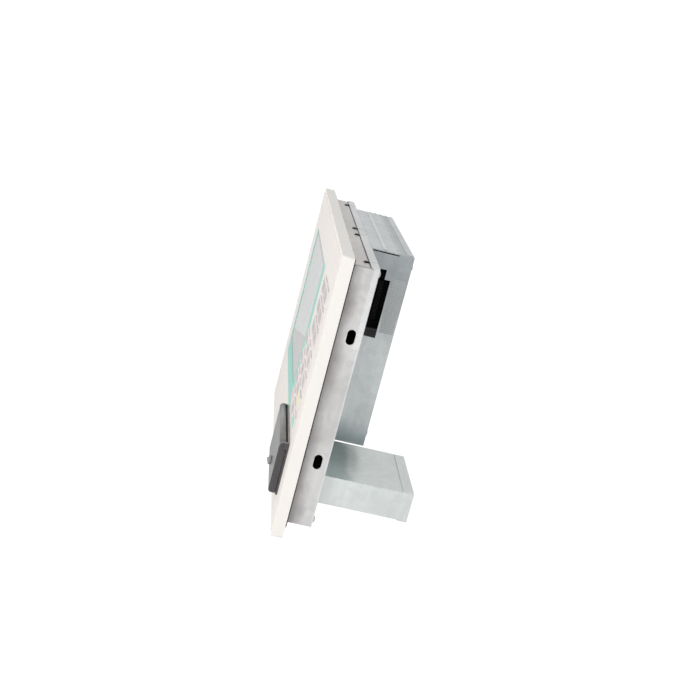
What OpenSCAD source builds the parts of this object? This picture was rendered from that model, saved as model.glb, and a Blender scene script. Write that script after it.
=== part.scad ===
// Panel-mount operator terminal: bezel with display, key block and drive door,
// sheet-metal mounting frame, computer housing and drive bay.
// Origin: centre of the bezel's mounting face. -Y is the operator's side, +Z up.

/* [Bezel] */
// Width of the bezel
bezel_w = 483; // [440:1:600]
// Height of the bezel
bezel_h = 310; // [300:1:400]
// Depth of the bezel, foil included
bezel_d = 13.4; // [12:0.1:20]
// Thickness of the bezel's front wall
face_t = 4; // [3:0.1:5]
// Thickness of the front foil
foil_t = 0.5; // [0.3:0.1:0.8]
// Width of the solid rim that the frame's flange seats on
rim_w = 12; // [10:0.5:14]
// Width of the sealing gasket
gasket_w = 4; // [3:0.5:5]
// Height that the gasket stands proud of the mounting face
gasket_proud = 2.5; // [1:0.1:3]

/* [Display] */
// Width of the display glass
glass_w = 222; // [180:1:230]
// Height of the display glass
glass_h = 154; // [130:1:156]
// Thickness of the display glass
glass_t = 3; // [2:0.1:3.4]
// Centre of the glass, sideways
glass_x = -61; // [-70:1:-58]
// Centre of the glass, upwards
glass_z = 31; // [28:1:34]
// Width of the ledge that the glass sits on
ledge_w = 3; // [2:0.5:5]
// Width of the coloured trim beside the keys
trim_right = 19; // [10:1:20]
// Width of the same trim higher up, beside the glass
trim_wide = 28; // [20:1:29]
// Width of the coloured trim on the far side
trim_left = 8; // [5:0.5:12]
// Height of the coloured trim under the glass
trim_bottom = 23; // [12:1:26]
// Depth of the display module
lcd_d = 8.9; // [7:0.1:12]

/* [Keys] */
// Sideways pitch of the keys
key_pitch_x = 44; // [42:0.5:48]
// Upward pitch of the keys
key_pitch_z = 23; // [21:0.5:24]
// Width of a number key
key_w = 34; // [24:1:38]
// Height of a number key
key_h = 16; // [12:0.5:18]
// Width of a function key
fkey_w = 40; // [30:1:41]
// Height of a function key
fkey_h = 18; // [14:0.5:19]
// Centre of the middle column
key_x = 142; // [138:1:146]
// Centre of the lowest row
key_z = -43; // [-46:1:-40]
// Height of a key above the foil
key_proud = 1.6; // [1:0.1:3]
// How far a key travels
key_travel = 0.8; // [0.5:0.1:1.2]
// Clearance around a key
key_gap = 0.3; // [0.2:0.05:0.5]

/* [Drive door] */
// Width of the door frame
door_w = 132; // [124:1:150]
// Height of the door
door_h = 60; // [54:1:62]
// Centre of the door, sideways
door_x = 136; // [130:1:140]
// Top edge of the door
door_top = -64; // [-66:0.5:-62]
// Radius of the hinge barrel
barrel_r = 4; // [3.5:0.1:5]
// Wall of the door
door_t = 2.5; // [2:0.1:3]
// Depth of the frame around the door
door_frame_d = 2.2; // [2:0.1:4]
// Radius of the hinge pin
pin_r = 1.5; // [1:0.1:2]
// Radius of the knob on the door
knob_r = 5; // [4:0.5:6]
// Height of the knob
knob_h = 2.6; // [2:0.1:5]

/* [Drive] */
// Width of the disk drive
drive_w = 101.6; // [90:0.1:106]
// Height of the disk drive
drive_h = 25.4; // [20:0.1:26]
// Depth of the disk drive behind its front
drive_d = 134; // [100:1:150]
// Travel of the eject button
eject_travel = 5; // [3:0.5:7]

/* [Mounting frame] */
// Width of the mounting frame
frame_w = 448; // [430:1:448]
// Height of the mounting frame
frame_h = 289; // [280:1:289]
// Rear edge of the mounting frame with its cover
frame_d = 28.9; // [26:0.1:40]
// Height of the frame's centre above the bezel's centre
frame_z = 1.3; // [0:0.1:2]
// Sheet thickness of frame and cover
sheet_t = 1.5; // [1:0.1:2]
// Width of the frame's front flange
flange_w = 12; // [10:0.5:14]
// Length of a clamp slot
slot_len = 16.5; // [12:0.5:24]
// Width of a clamp slot
slot_w = 9; // [6:0.5:10]
// Distance between the clamp slots of one side
slot_pitch = 140; // [120:1:200]
// Distance of the clamp slots from the mounting face
slot_y = 17.7; // [15:0.1:19]
// Seam of the cover on the frame's top
seam_y = 20; // [18:0.5:22]
// Lower end of the cover's side laps
lap_z = 60; // [20:1:90]

/* [Computer housing] */
// Width of the computer housing
house_w = 272; // [260:1:290]
// Height of the computer housing
house_h = 227.5; // [224:0.5:236]
// Depth of the computer housing
house_d = 49; // [47:0.5:60]
// Near side of the computer housing
house_near = 112; // [104:1:122]
// Sheet thickness of the housings
skin_t = 1.2; // [0.8:0.1:1.6]
// Width of the side window
window_w = 13.7; // [12:0.1:14]
// Height of the side window
window_h = 67.7; // [60:0.1:72]
// Depth of the tray behind the side window
tray_d = 14; // [10:0.5:18]
// Travel of the side latch
latch_travel = 8; // [4:0.5:10]

/* [Drive bay] */
// Width of the drive bay
bay_w = 116; // [112:1:124]
// Height of the drive bay
bay_h = 32.4; // [30:0.1:36]
// Rear face of the drive bay
bay_rear = 132.3; // [130:0.1:160]

/* [Fan] */
// Outer size of the fan
fan_w = 60; // [56:1:62]
// Depth of the fan
fan_d = 12; // [10:0.5:14]
// Radius of the fan's shaft
shaft_r = 1.5; // [1:0.1:2]

/* [Hidden] */
gap = 0.3;             // clearance between pieces that do not touch
run = 0.05;            // radial clearance of a shaft that turns
over = 1;              // cutters run past a face by this much
bite = 0.5;            // how far a boss or rib reaches into its wall
bezel_r = 3;           // corners of the bezel
foil_margin = 4;       // rim of the bezel that the foil leaves free
key_r = 2;             // corners of a key
mouth_r = 3;           // corners of the opening behind the door
lamp_r = 2;
foil_y = -bezel_d;     // front of the foil
face_y = foil_y + foil_t;    // front of the bezel's own wall
back_y = face_y + face_t;    // rear of the bezel's front wall
pocket_w = frame_w - 2 * rim_w;    // hollow behind the bezel's front wall
pocket_h = frame_h - 2 * rim_w;
frame_top = frame_z + frame_h / 2;
frame_bottom = frame_z - frame_h / 2;
cover_top = frame_top + sheet_t;
cover_y = frame_d - sheet_t;       // front of the rear cover's plate
side_lap_y = slot_y + slot_w / 2 + 0.8;   // front edge of the cover's side laps
glass_x0 = glass_x - glass_w / 2;
glass_x1 = glass_x + glass_w / 2;
glass_z0 = glass_z - glass_h / 2;
glass_z1 = glass_z + glass_h / 2;
lcd_y = back_y;                    // front of the display module
lcd_margin = 9;                    // how far the module reaches past the glass
boss_r = 4;
screw_r = 1.5;
head_r = 4;
head_h = 3;
recess_l = 5.2;                    // cross recess in a screw's head
recess_w = 1;
small_r = 1;                       // shank of a small stud or screw
stud_head_h = 1.6;

// Key table: name, centre x, centre z, width, height, colour
grey_key = [0.74, 0.71, 0.71];
key_rows = [0, 1, 2, 3];
block_gap = 4;                     // extra space between the two key blocks
number_names = [["key_cancel", "key_n0", "key_enter"], ["key_n1", "key_n2", "key_clear"],
                ["key_n3", "key_n4", "key_n5"], ["key_n6", "key_n7", "key_n8"]];
function key_colour(name) =
    name == "key_cancel" ? [0.93, 0.72, 0.73] :
    name == "key_enter" ? [0.55, 0.85, 0.72] :
    name == "key_clear" ? [0.88, 0.88, 0.6] : grey_key;
number_keys = [for (r = key_rows) for (c = [0, 1, 2])
    [number_names[r][c], key_x + (c - 1) * key_pitch_x, key_z + r * key_pitch_z, key_w, key_h]];
function_keys = [for (r = [0, 1, 2]) for (c = [0, 1])
    [str("key_f", 2 * r + c + 1), key_x + c * key_pitch_x,
     key_z + (4 + r) * key_pitch_z + block_gap, fkey_w, fkey_h]];
keys = concat(number_keys, function_keys);
key_flange_t = 1.2;
key_flange_w = 0.8;                // how far the flange reaches past the cap
key_flange_y = back_y + gap;                       // front of a key's rear flange
dome_h = 0.5;
board_y = key_flange_y + key_flange_t + key_travel + gap + dome_h;  // front of the key board
board_t = 1.6;
lamp_x = key_x - key_pitch_x + 14;
lamp_z = [for (r = [0, 1, 2]) key_z + (4 + r) * key_pitch_z + block_gap];
board_x0 = key_x - key_pitch_x - key_w / 2 - 4;
board_x1 = key_x + key_pitch_x + fkey_w / 2 + 3;
board_z0 = key_z - key_h / 2 - 9;
board_z1 = key_z + 6 * key_pitch_z + block_gap + fkey_h / 2 + 9;
board_boss_r = 2.5;
board_bosses = [for (x = [key_x - key_pitch_x / 2, key_x + key_pitch_x / 2])
    for (z = [board_z0 + 4, key_z + 3.5 * key_pitch_z + block_gap / 2 - 0.6, board_z1 - 4]) [x, z]];

// Door
frame_front = foil_y - door_frame_d;
axis_y = frame_front - gap - barrel_r;
axis_z = door_top - barrel_r;
door_front = axis_y - barrel_r;
door_bottom = door_top - door_h;
trim_step_z = door_top + 2;      // the trim widens above the door's frame
trim_x1 = min(glass_x0 + glass_w + trim_wide,
              key_x - key_pitch_x - key_w / 2 - key_gap - 1);
lug_t = 3.7;
frame_x0 = door_x - door_w / 2;
frame_x1 = door_x + door_w / 2;
door_x0 = frame_x0 + lug_t + gap;
door_x1 = frame_x1 - lug_t - gap;
mouth_x0 = frame_x0 + 20;        // opening in the bezel behind the door
mouth_x1 = frame_x1 - 8;
mouth_z0 = door_bottom + 3.5;
mouth_z1 = door_top - 10;
knob_z = door_bottom + 12.5;
stem_r = 3;
tongue_len = 7.2;
tongue_y = door_front + door_t + gap + 1.4;   // front of the tongue
tongue_t = 1.4;
catch_w = 9;
catch_t = 1.4;
catch_y = tongue_y - gap - 1.3;    // front of the hook that the tongue turns behind
catch_z = door_bottom + door_t + 0.5;

// Drive and bay
drive_x = (mouth_x0 + mouth_x1) / 2;
drive_y = back_y + gap;
drive_z0 = mouth_z0 + 0.4;
drive_face_t = 6;
case_step = 0.4;                 // the drive's case is this much lower than its front
flap_pin_r = 0.6;
drive_z1 = drive_z0 + drive_h;
bay_x0 = drive_x - bay_w / 2;
bay_x1 = drive_x + bay_w / 2;
bay_z0 = drive_z0 - (bay_h - drive_h) / 2;
bay_z1 = bay_z0 + bay_h;
lip_t = 0.9;                     // folded lips of the bay's lid
slot_z = drive_z1 - 8;           // disk slot
disk_slot_w = 92;
disk_slot_h = 3.8;
flap_y = drive_y + 3.4;
flap_r = 1.1;
eject_w = 13;
eject_h = 6;
eject_x = drive_x + drive_w / 2 - 14;
eject_z = drive_z0 + 6.5;
eject_len = 9;
socket_z = (drive_z1 + mouth_z1) / 2;
socket_r = 7;
socket_dx = 26;                  // sockets, to each side of the drive's middle

// Housing
house_x1 = house_near;
house_x0 = house_near - house_w;
house_z1 = cover_top + 0.5;
house_z0 = house_z1 - house_h;
house_y0 = frame_d;
house_y1 = frame_d + house_d;
window_y0 = house_y0 + 15.5;
window_z0 = house_z0 + 128.3;
neck_w = 8;
neck_h = 11;
rib_t = 0.8;
stud_inset = 6;                   // studs in the top, from the far side
stud_head_r = 2.6;
rib_x0 = house_x0 + stud_inset + stud_head_r + 1;
rib_x1 = house_x1 - 3;
seam_h = 1.3;                     // gap between the top and the near side
top_ribs = [[13.5, 4], [32, 1.2], [40.5, 7]];   // place behind the cover, and width
vent_w = 4;
vent_pitch = 8;
rear_vent_x = house_x0 + 30;
side_vent_z = house_z0 + 32;
board_stand = 4;                  // height of the main board's spacers
main_y = house_y0 + board_stand;
main_t = 1.6;
main_x0 = house_x0 + 8;
main_x1 = house_x0 + 180;
main_z0 = house_z0 + 9;
main_z1 = house_z1 - 9;
main_posts = [for (x = [main_x0 + 8, main_x1 - 8]) for (z = [main_z0 + 8, main_z1 - 8]) [x, z]];
sink_x = house_x0 + 78;
sink_z = house_z0 + 118;
sink_w = 64;
sink_base_y = main_y + main_t + 2.4;
sink_base_t = 4;
fin_h = 14;
fan_y = sink_base_y + sink_base_t + fin_h;
rotor_r = fan_w / 2 - 2.5;
blades = 7;
blade_angle = 35;
fin_pitch = 5.2;
fin_t = 1.6;
hub_r = 11;
tray_x0 = house_x1 - skin_t - tray_d;
tray_t = 1.6;                     // wall of the tray
latch_l = 9.7;
latch_x = house_x1 - skin_t - 5;  // middle of the latch's guide lugs
groove_d = 1;
inlet_x = house_x0 + 205;
inlet_y = house_y0 + 26;
inlet_w = 27;
inlet_h = 21.6;
inlet_d = 18;
inlet_rim = 2.2;                  // rim of the inlet around its cut-out
rocker_x = inlet_x - 26;
rocker_w = 10;
rocker_l = 14;
rocker_angle = 12;
inlet_lip = 2;
inlet_x0 = rocker_x - 7.5;        // body of the inlet and its switch
inlet_x1 = inlet_x + inlet_w / 2 + 0.8;
cover_screw_x = frame_w / 2 - 10;
cover_screw_z = frame_h / 2 - 6;
hook_x = [-187, -5, 37, 196];
hook_w = 3.2;                      // tongues of the cover that hook into the frame's top
hook_slot_w = 8;
hook_slot_y0 = seam_y - 6.6;
hook_slot_y1 = seam_y - 0.6;
hook_drop = 2.5;                   // how far a tongue's bent end reaches below the frame's top
stud_x = -200;
stud_z = frame_bottom + 22;
stud_r = 2;
stud_len = 10;                    // free length past the lock nut
nut_r = 4;
nut_h = 3.2;

// Basic shapes. Each takes its limits along x, y and z as [low, high].
module block(x, y, z) {
    translate([x[0], y[0], z[0]]) cube([x[1] - x[0], y[1] - y[0], z[1] - z[0]]);
}

// A flat outline in x and z, thick from y0 to y1
module flat(y0, y1) {
    translate([0, y1, 0]) rotate([90, 0, 0]) linear_extrude(y1 - y0) children();
}

// A profile in y and z, swept from x0 to x1
module swept(x0, x1) {
    translate([x0, 0, 0]) rotate([90, 0, 90]) linear_extrude(x1 - x0) children();
}

// A round bar along Y, centred at [x, z]
module rod_y(p, y0, y1, r) {
    translate([p[0], y1, p[1]]) rotate([90, 0, 0]) cylinder(h = y1 - y0, r = r, $fn = 32);
}

// A round bar along X, centred at [y, z]
module rod_x(p, x0, x1, r) {
    translate([x0, p[0], p[1]]) rotate([0, 90, 0]) cylinder(h = x1 - x0, r = r, $fn = 32);
}

// Rounded rectangle between two corners
module rounded(x0, x1, z0, z1, r) {
    translate([x0 + r, z0]) square([x1 - x0 - 2 * r, z1 - z0]);
    translate([x0, z0 + r]) square([x1 - x0, z1 - z0 - 2 * r]);
    for (x = [x0 + r, x1 - r]) for (z = [z0 + r, z1 - r])
        translate([x, z]) circle(r = r, $fn = 32);
}

module centred(x, z, w, h, r) rounded(x - w / 2, x + w / 2, z - h / 2, z + h / 2, r);

// Screw with a domed head standing towards +Y from y
module screw_y(p, y, length) {
    rod_y(p, y - length, y, screw_r);
    difference() {
        rod_y(p, y, y + head_h, head_r);
        for (s = [[recess_l, recess_w], [recess_w, recess_l]])
            block([p[0] - s[0] / 2, p[0] + s[0] / 2], [y + head_h - 1, y + head_h + over],
                  [p[1] - s[1] / 2, p[1] + s[1] / 2]);
    }
}

// Everything that the trim and the glass lie in, as one outline
module trim_outline(c) {
    translate([glass_x0 - trim_left - c, glass_z0 - trim_bottom - c])
        square([glass_w + trim_left + trim_right + 2 * c, glass_h + trim_bottom + 2 * c]);
    translate([glass_x0 - c, trim_step_z - c])
        square([trim_x1 - glass_x0 + 2 * c, glass_z0 + glass_h - trim_step_z + 2 * c]);
}

module key_holes(c) {
    for (k = keys) centred(k[1], k[2], k[3] + 2 * c, k[4] + 2 * c, key_r + c);
}

module bezel() {
    color([0.96, 0.94, 0.91]) difference() {
        union() {
            difference() {
                flat(face_y, 0) centred(0, 0, bezel_w, bezel_h, bezel_r);
                flat(back_y, over) centred(0, frame_z, pocket_w, pocket_h, 4);
            }
            for (p = board_bosses) rod_y(p, back_y - bite, board_y, board_boss_r);
            for (p = lcd_corners) rod_y(p, back_y - bite, lcd_y + lcd_d, boss_r);
        }
        // glass seat and the window behind it
        flat(face_y - over, face_y + glass_t) centred(glass_x, glass_z, glass_w + 2 * key_gap,
                                                      glass_h + 2 * key_gap, 2);
        flat(face_y, back_y + over) centred(glass_x, glass_z, glass_w - 2 * ledge_w,
                                            glass_h - 2 * ledge_w, 2);
        flat(face_y - over, back_y + over) key_holes(key_gap);
        flat(face_y - over, back_y + over) rounded(mouth_x0, mouth_x1, mouth_z0, mouth_z1, mouth_r);
        flat(-gasket_depth, over) gasket_outline(0.1);
        for (p = frame_points) rod_y(p, -frame_screw_l - over, over, screw_r);
        for (z = lamp_z) rod_y([lamp_x, z], face_y - over, back_y + over, lamp_r + run);
    }
}

gasket_depth = 2;
gasket_side = frame_w / 2 + sheet_t + 1;
gasket_low = frame_bottom - 2.5;
gasket_high = cover_top + 1.2;
module gasket_outline(c) {
    difference() {
        rounded(-gasket_side - gasket_w - c, gasket_side + gasket_w + c,
                gasket_low - gasket_w - c, gasket_high + gasket_w + c, 5);
        rounded(-gasket_side + c, gasket_side - c, gasket_low + c, gasket_high - c, 2);
    }
}

module bezel_gasket() {
    color([0.2, 0.19, 0.18]) flat(-gasket_depth, gasket_proud) gasket_outline(0);
}

lcd_x0 = glass_x0 - lcd_margin;
lcd_x1 = glass_x1 + lcd_margin;
lcd_z0 = glass_z0 - lcd_margin;
lcd_z1 = glass_z1 + lcd_margin;
strap_inset = 18;                  // straps of the display bracket, from the module's edge
lcd_corners = [for (x = [lcd_x0 - boss_r - 1, lcd_x1 + boss_r + 1])
    for (z = [lcd_z0 + strap_inset, lcd_z1 - strap_inset]) [x, z]];

module front_foil() {
    color([0.93, 0.91, 0.88]) flat(foil_y, face_y) difference() {
        centred(0, 0, bezel_w - 2 * foil_margin, bezel_h - 2 * foil_margin, 4);
        trim_outline(0.2);
        key_holes(key_gap);
        rounded(mouth_x0, mouth_x1, mouth_z0, mouth_z1, mouth_r);
        for (z = lamp_z) translate([lamp_x, z]) circle(r = lamp_r + run, $fn = 32);
    }
}

module screen_trim() {
    color([0.55, 0.84, 0.77]) flat(foil_y - 0.1, face_y) difference() {
        trim_outline(0);
        translate([glass_x0 - key_gap, glass_z0 - key_gap])
            square([glass_w + 2 * key_gap, glass_h + over]);
    }
}

module display_glass() {
    color([0.84, 0.84, 0.87]) flat(face_y, face_y + glass_t)
        centred(glass_x, glass_z, glass_w, glass_h, 1.5);
}

module lcd_module() {
    color([0.35, 0.36, 0.38]) difference() {
        block([lcd_x0, lcd_x1], [lcd_y, lcd_y + lcd_d], [lcd_z0, lcd_z1]);
        for (i = [0:5]) block([lcd_x0 + 30 + i * 34, lcd_x0 + 50 + i * 34],
                              [lcd_y + lcd_d - 0.8, lcd_y + lcd_d + over], [lcd_z0 + 12, lcd_z0 + 20]);
    }
}

module lcd_bracket() {
    y = lcd_y + lcd_d;
    color([0.72, 0.74, 0.74]) flat(y, y + sheet_t) {
        difference() {
            union() {
                for (z = [lcd_z0 + strap_inset, lcd_z1 - strap_inset])
                    centred(glass_x, z, glass_w + 2 * lcd_margin + 4 * boss_r + 6, 16, 3);
                centred(glass_x, glass_z, 24, glass_h - strap_inset, 2);
            }
            for (p = lcd_corners) translate(p) circle(r = screw_r, $fn = 32);
        }
    }
}

module backlight_inverter() {
    y = lcd_y + lcd_d + sheet_t;
    x = glass_x - 44;
    color([0.2, 0.45, 0.3]) block([x, x + 90], [y, y + 1.6], [lcd_z1 - 25, lcd_z1 - 11]);
    color([0.1, 0.1, 0.1]) for (i = [0:2])
        block([x + 8 + i * 26, x + 26 + i * 26], [y + 1.6, y + 6], [lcd_z1 - 23, lcd_z1 - 13]);
}

module key_cap(k) {
    color(key_colour(k[0])) {
        flat(foil_y - key_proud, key_flange_y) centred(k[1], k[2], k[3], k[4], key_r);
        flat(key_flange_y, key_flange_y + key_flange_t)
            centred(k[1], k[2], k[3] + 2 * key_flange_w, k[4] + 2 * key_flange_w, key_r);
    }
}

module key_board() {
    color([0.15, 0.42, 0.28]) {
        block([board_x0, board_x1], [board_y, board_y + board_t], [board_z0, board_z1]);
        for (k = keys) rod_y([k[1], k[2]], board_y - dome_h, board_y, 4);
        block([board_x1 - 40, board_x1 - 12], [board_y + board_t, board_y + board_t + 5],
              [board_z1 - 14, board_z1 - 6]);
    }
}

module status_lamps() {
    color([0.86, 0.78, 0.78]) for (z = lamp_z) {
        rod_y([lamp_x, z], foil_y - 0.4, board_y, lamp_r);
    }
}

// Door frame with hinge lugs and the catch for the door's tongue
module door_frame() {
    color([0.29, 0.285, 0.29]) difference() {
        union() {
            flat(frame_front, foil_y) difference() {
                rounded(frame_x0, frame_x1, door_bottom - 1, door_top, 3);
                rounded(mouth_x0, mouth_x1, mouth_z0, mouth_z1, mouth_r);
            }
            for (x = [frame_x0, frame_x1 - lug_t]) {
                rod_x([axis_y, axis_z], x, x + lug_t, barrel_r);
                block([x, x + lug_t], [axis_y, frame_front + bite],
                      [axis_z - barrel_r, axis_z + barrel_r]);
            }
            block([door_x - catch_w / 2, door_x + catch_w / 2], [catch_y, foil_y],
                  [catch_z, catch_z + catch_t]);
            block([door_x - catch_w / 2, door_x + catch_w / 2], [catch_y, tongue_y - gap],
                  [catch_z, knob_z - tongue_len + 1.6]);
        }
        rod_x([axis_y, axis_z], frame_x0 - over, frame_x1 + over, pin_r);
    }
}

// Half profile of the door in y and z
module door_profile() {
    r = 3.5;                           // lower front corner
    translate([axis_y, axis_z]) circle(r = barrel_r, $fn = 48);
    translate([door_front, door_bottom + r])
        square([axis_y - door_front, axis_z - door_bottom - r]);
    translate([axis_y - over, door_bottom + r])
        square([frame_front - gap - axis_y + over, axis_z - barrel_r - 2 - door_bottom - r]);
    translate([door_front + r, door_bottom])
        square([frame_front - gap - door_front - 2 * r + 2, r + over]);
    translate([door_front + r, door_bottom + r]) circle(r = r, $fn = 32);
    translate([frame_front - gap - r + 2, door_bottom])
        square([r - 2, 2 * r]);
}

module drive_door() {
    color([0.31, 0.3, 0.305]) difference() {
        swept(door_x0, door_x1) door_profile();
        // hollow behind the front wall
        block([door_x0 + door_t, door_x1 - door_t], [door_front + door_t, over],
              [door_bottom + door_t, axis_z - barrel_r - gap]);
        rod_x([axis_y, axis_z], door_x0 - over, door_x1 + over, pin_r + run);
        rod_y([door_x, knob_z], door_front - over, door_front + door_t + over, stem_r + run);
    }
}

module door_pin() {
    color([0.75, 0.75, 0.76]) rod_x([axis_y, axis_z], frame_x0 + bite, frame_x1 - bite, pin_r);
}

// Turn knob: head outside, stem through the door, tongue inside
module door_knob() {
    p = [door_x, knob_z];
    color([0.62, 0.62, 0.61]) {
        rod_y(p, door_front - gap - knob_h, door_front - gap, knob_r);
        block([door_x - knob_r + 0.6, door_x + knob_r - 0.6],
              [door_front - gap - knob_h - 1.4, door_front - gap - knob_h + 0.5],
              [knob_z - 1, knob_z + 1]);
        rod_y(p, door_front - gap - 0.5, tongue_y + tongue_t, stem_r);
        rod_y(p, door_front + door_t + gap, tongue_y + tongue_t, stem_r + 1);
        block([door_x - 2.2, door_x + tongue_len], [tongue_y, tongue_y + tongue_t],
              [knob_z - 2.2, knob_z + 2.2]);
    }
}

module drive_body() {
    x0 = drive_x - drive_w / 2;
    color([0.2, 0.2, 0.2]) difference() {
        block([x0, x0 + drive_w], [drive_y, drive_y + drive_face_t], [drive_z0, drive_z1]);
        drive_cuts();
    }
    color([0.7, 0.71, 0.72]) difference() {
        block([x0 + 0.8, x0 + drive_w - 0.8], [drive_y + drive_face_t, drive_y + drive_d],
              [drive_z0 + case_step, drive_z1 - case_step]);
        drive_cuts();
    }
}

module drive_cuts() {
    // disk slot, with a wider chamber where the flap swings
    block([drive_x - disk_slot_w / 2, drive_x + disk_slot_w / 2], [drive_y - over, drive_y + 90],
          [slot_z - disk_slot_h / 2, slot_z + disk_slot_h / 2]);
    block([drive_x - disk_slot_w / 2, drive_x + disk_slot_w / 2], [flap_y - 1.6, flap_y + 6],
          [slot_z - disk_slot_h / 2, slot_z + disk_slot_h / 2 + 2 * flap_r + 0.6]);
    rod_x([flap_y, slot_z + disk_slot_h / 2 + flap_r], drive_x - disk_slot_w / 2 - 2,
          drive_x + disk_slot_w / 2 + 2, flap_pin_r + run);
    // eject button
    block([eject_x - eject_w / 2 - gap, eject_x + eject_w / 2 + gap],
          [drive_y - over, drive_y + eject_len + eject_travel + gap],
          [eject_z - eject_h / 2 - gap, eject_z + eject_h / 2 + gap]);
    block([drive_x - drive_w / 2 + 8, drive_x - drive_w / 2 + 12], [drive_y - over, drive_y + 1.5],
          [drive_z0 + 5.5, drive_z0 + 7.5]);
}

// Flap that hangs in the disk slot and swings inwards
module drive_flap() {
    z = slot_z + disk_slot_h / 2 + flap_r;
    w = disk_slot_w / 2;
    color([0.13, 0.13, 0.13]) {
        rod_x([flap_y, z], drive_x - w - 1.8, drive_x + w + 1.8, flap_pin_r);
        rod_x([flap_y, z], drive_x - w + 0.5, drive_x + w - 0.5, flap_r);
        block([drive_x - w + 0.5, drive_x + w - 0.5], [flap_y - 0.5, flap_y + 0.5],
              [slot_z - disk_slot_h / 2 + gap, z]);
    }
}

module drive_button() {
    color([0.45, 0.45, 0.46]) block([eject_x - eject_w / 2, eject_x + eject_w / 2],
        [drive_y - 1.2, drive_y + eject_len], [eject_z - eject_h / 2, eject_z + eject_h / 2]);
}

// Socket plate above the drive, with two capped round sockets
module front_socket() {
    color([0.6, 0.61, 0.62]) {
        block([mouth_x0 - 6, mouth_x1 + 6], [back_y, back_y + 2], [drive_z1 + 0.6, mouth_z1 + 6]);
        for (s = [-1, 1]) rod_y([drive_x + s * socket_dx, socket_z], back_y + 2, back_y + 14, socket_r);
    }
}

module socket_caps() {
    color([0.12, 0.12, 0.12]) for (s = [-1, 1]) {
        rod_y([drive_x + s * socket_dx, socket_z], back_y - 1.5, back_y, socket_r + 0.6);
    }
}

frame_screw_l = 6;
frame_points = [for (x = [-1, 1]) for (z = [-110, -40, 40, 110])
    [x * (frame_w / 2 - 7), z + frame_z]];

// Sheet-metal ring with a front flange and two clamp slots in each side
module mounting_frame() {
    color([0.72, 0.73, 0.73]) difference() {
        flat(0, cover_y) difference() {
            centred(0, frame_z, frame_w, frame_h, 2);
            centred(0, frame_z, frame_w - 2 * sheet_t, frame_h - 2 * sheet_t, 1);
        }
        for (s = [-1, 1]) for (u = [-1, 1]) swept(s * frame_w / 2 - 3, s * frame_w / 2 + 3)
            clamp_slot(frame_z + u * slot_pitch / 2);
        for (x = hook_x) block([x - hook_slot_w / 2, x + hook_slot_w / 2],
            [hook_slot_y0, hook_slot_y1], [frame_top - sheet_t - over, frame_top + over]);
    }
    color([0.72, 0.73, 0.73]) flat(0, sheet_t) difference() {
        centred(0, frame_z, frame_w - 1, frame_h - 1, 2);
        centred(0, frame_z, frame_w - 2 * flange_w, frame_h - 2 * flange_w, 1);
        for (p = frame_points) translate(p) circle(r = screw_r, $fn = 32);
    }
}

module clamp_slot(z) {
    r = slot_w / 2;
    for (s = [-1, 1]) translate([slot_y, z + s * (slot_len / 2 - r)]) circle(r = r, $fn = 32);
    translate([slot_y - r, z - slot_len / 2 + r]) square([slot_w, slot_len - slot_w]);
}

module frame_screws() {
    color([0.8, 0.8, 0.78]) for (p = frame_points) {
        rod_y(p, -frame_screw_l, sheet_t, screw_r);
        rod_y(p, sheet_t, sheet_t + 2.4, 3);
    }
}

// Cover plate with a top lap, side laps and tongues that hook into the frame
module rear_cover() {
    color([0.76, 0.78, 0.78]) difference() {
        union() {
            flat(cover_y, frame_d) rounded(-frame_w / 2, frame_w / 2, frame_bottom, frame_top, 1);
            block([-frame_w / 2, frame_w / 2], [seam_y, frame_d], [frame_top, cover_top]);
            for (s = [-1, 1]) {
                x = s * (frame_w / 2 + sheet_t / 2);
                block([x - sheet_t / 2, x + sheet_t / 2], [side_lap_y, frame_d],
                      [lap_z, cover_top]);
            }
            for (p = main_posts) rod_y(p, frame_d - bite, main_y, 3);
            for (x = hook_x) {
                block([x - hook_w / 2, x + hook_w / 2], [hook_slot_y0 + 1, seam_y + bite],
                      [frame_top, cover_top]);
                block([x - hook_w / 2, x + hook_w / 2],
                      [hook_slot_y0 + 1, hook_slot_y0 + 1 + sheet_t],
                      [frame_top - hook_drop, frame_top + bite]);
            }
        }
        // drive passage and cable opening
        block([drive_x - drive_w / 2 - 2, drive_x + drive_w / 2 + 2], [cover_y - over, frame_d + over],
              [drive_z0 - 0.6, drive_z1 + 0.6]);
        block([house_x0 + 200, house_x0 + 240], [cover_y - over, frame_d + over],
              [house_z0 + 100, house_z0 + 118]);
        for (p = cover_points) rod_y(p, cover_y - over, frame_d + over, screw_r);
        rod_y([stud_x, stud_z], cover_y - over, frame_d + over, stud_r + gap);
    }
}

cover_points = [for (x = [-1, 1]) for (z = [-1, 1])
    [x * cover_screw_x, frame_z + z * cover_screw_z]];

module cover_screws() {
    color([0.8, 0.8, 0.78]) for (p = cover_points) screw_y(p, frame_d, 6);
}

module earth_stud() {
    color([0.85, 0.72, 0.4]) {
        rod_y([stud_x, stud_z], cover_y - nut_h, frame_d + nut_h + stud_len, stud_r);
        for (y = [cover_y, frame_d + nut_h]) translate([stud_x, y, stud_z]) rotate([90, 0, 0])
            cylinder(h = nut_h, r = nut_r, $fn = 6);
    }
}

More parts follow.
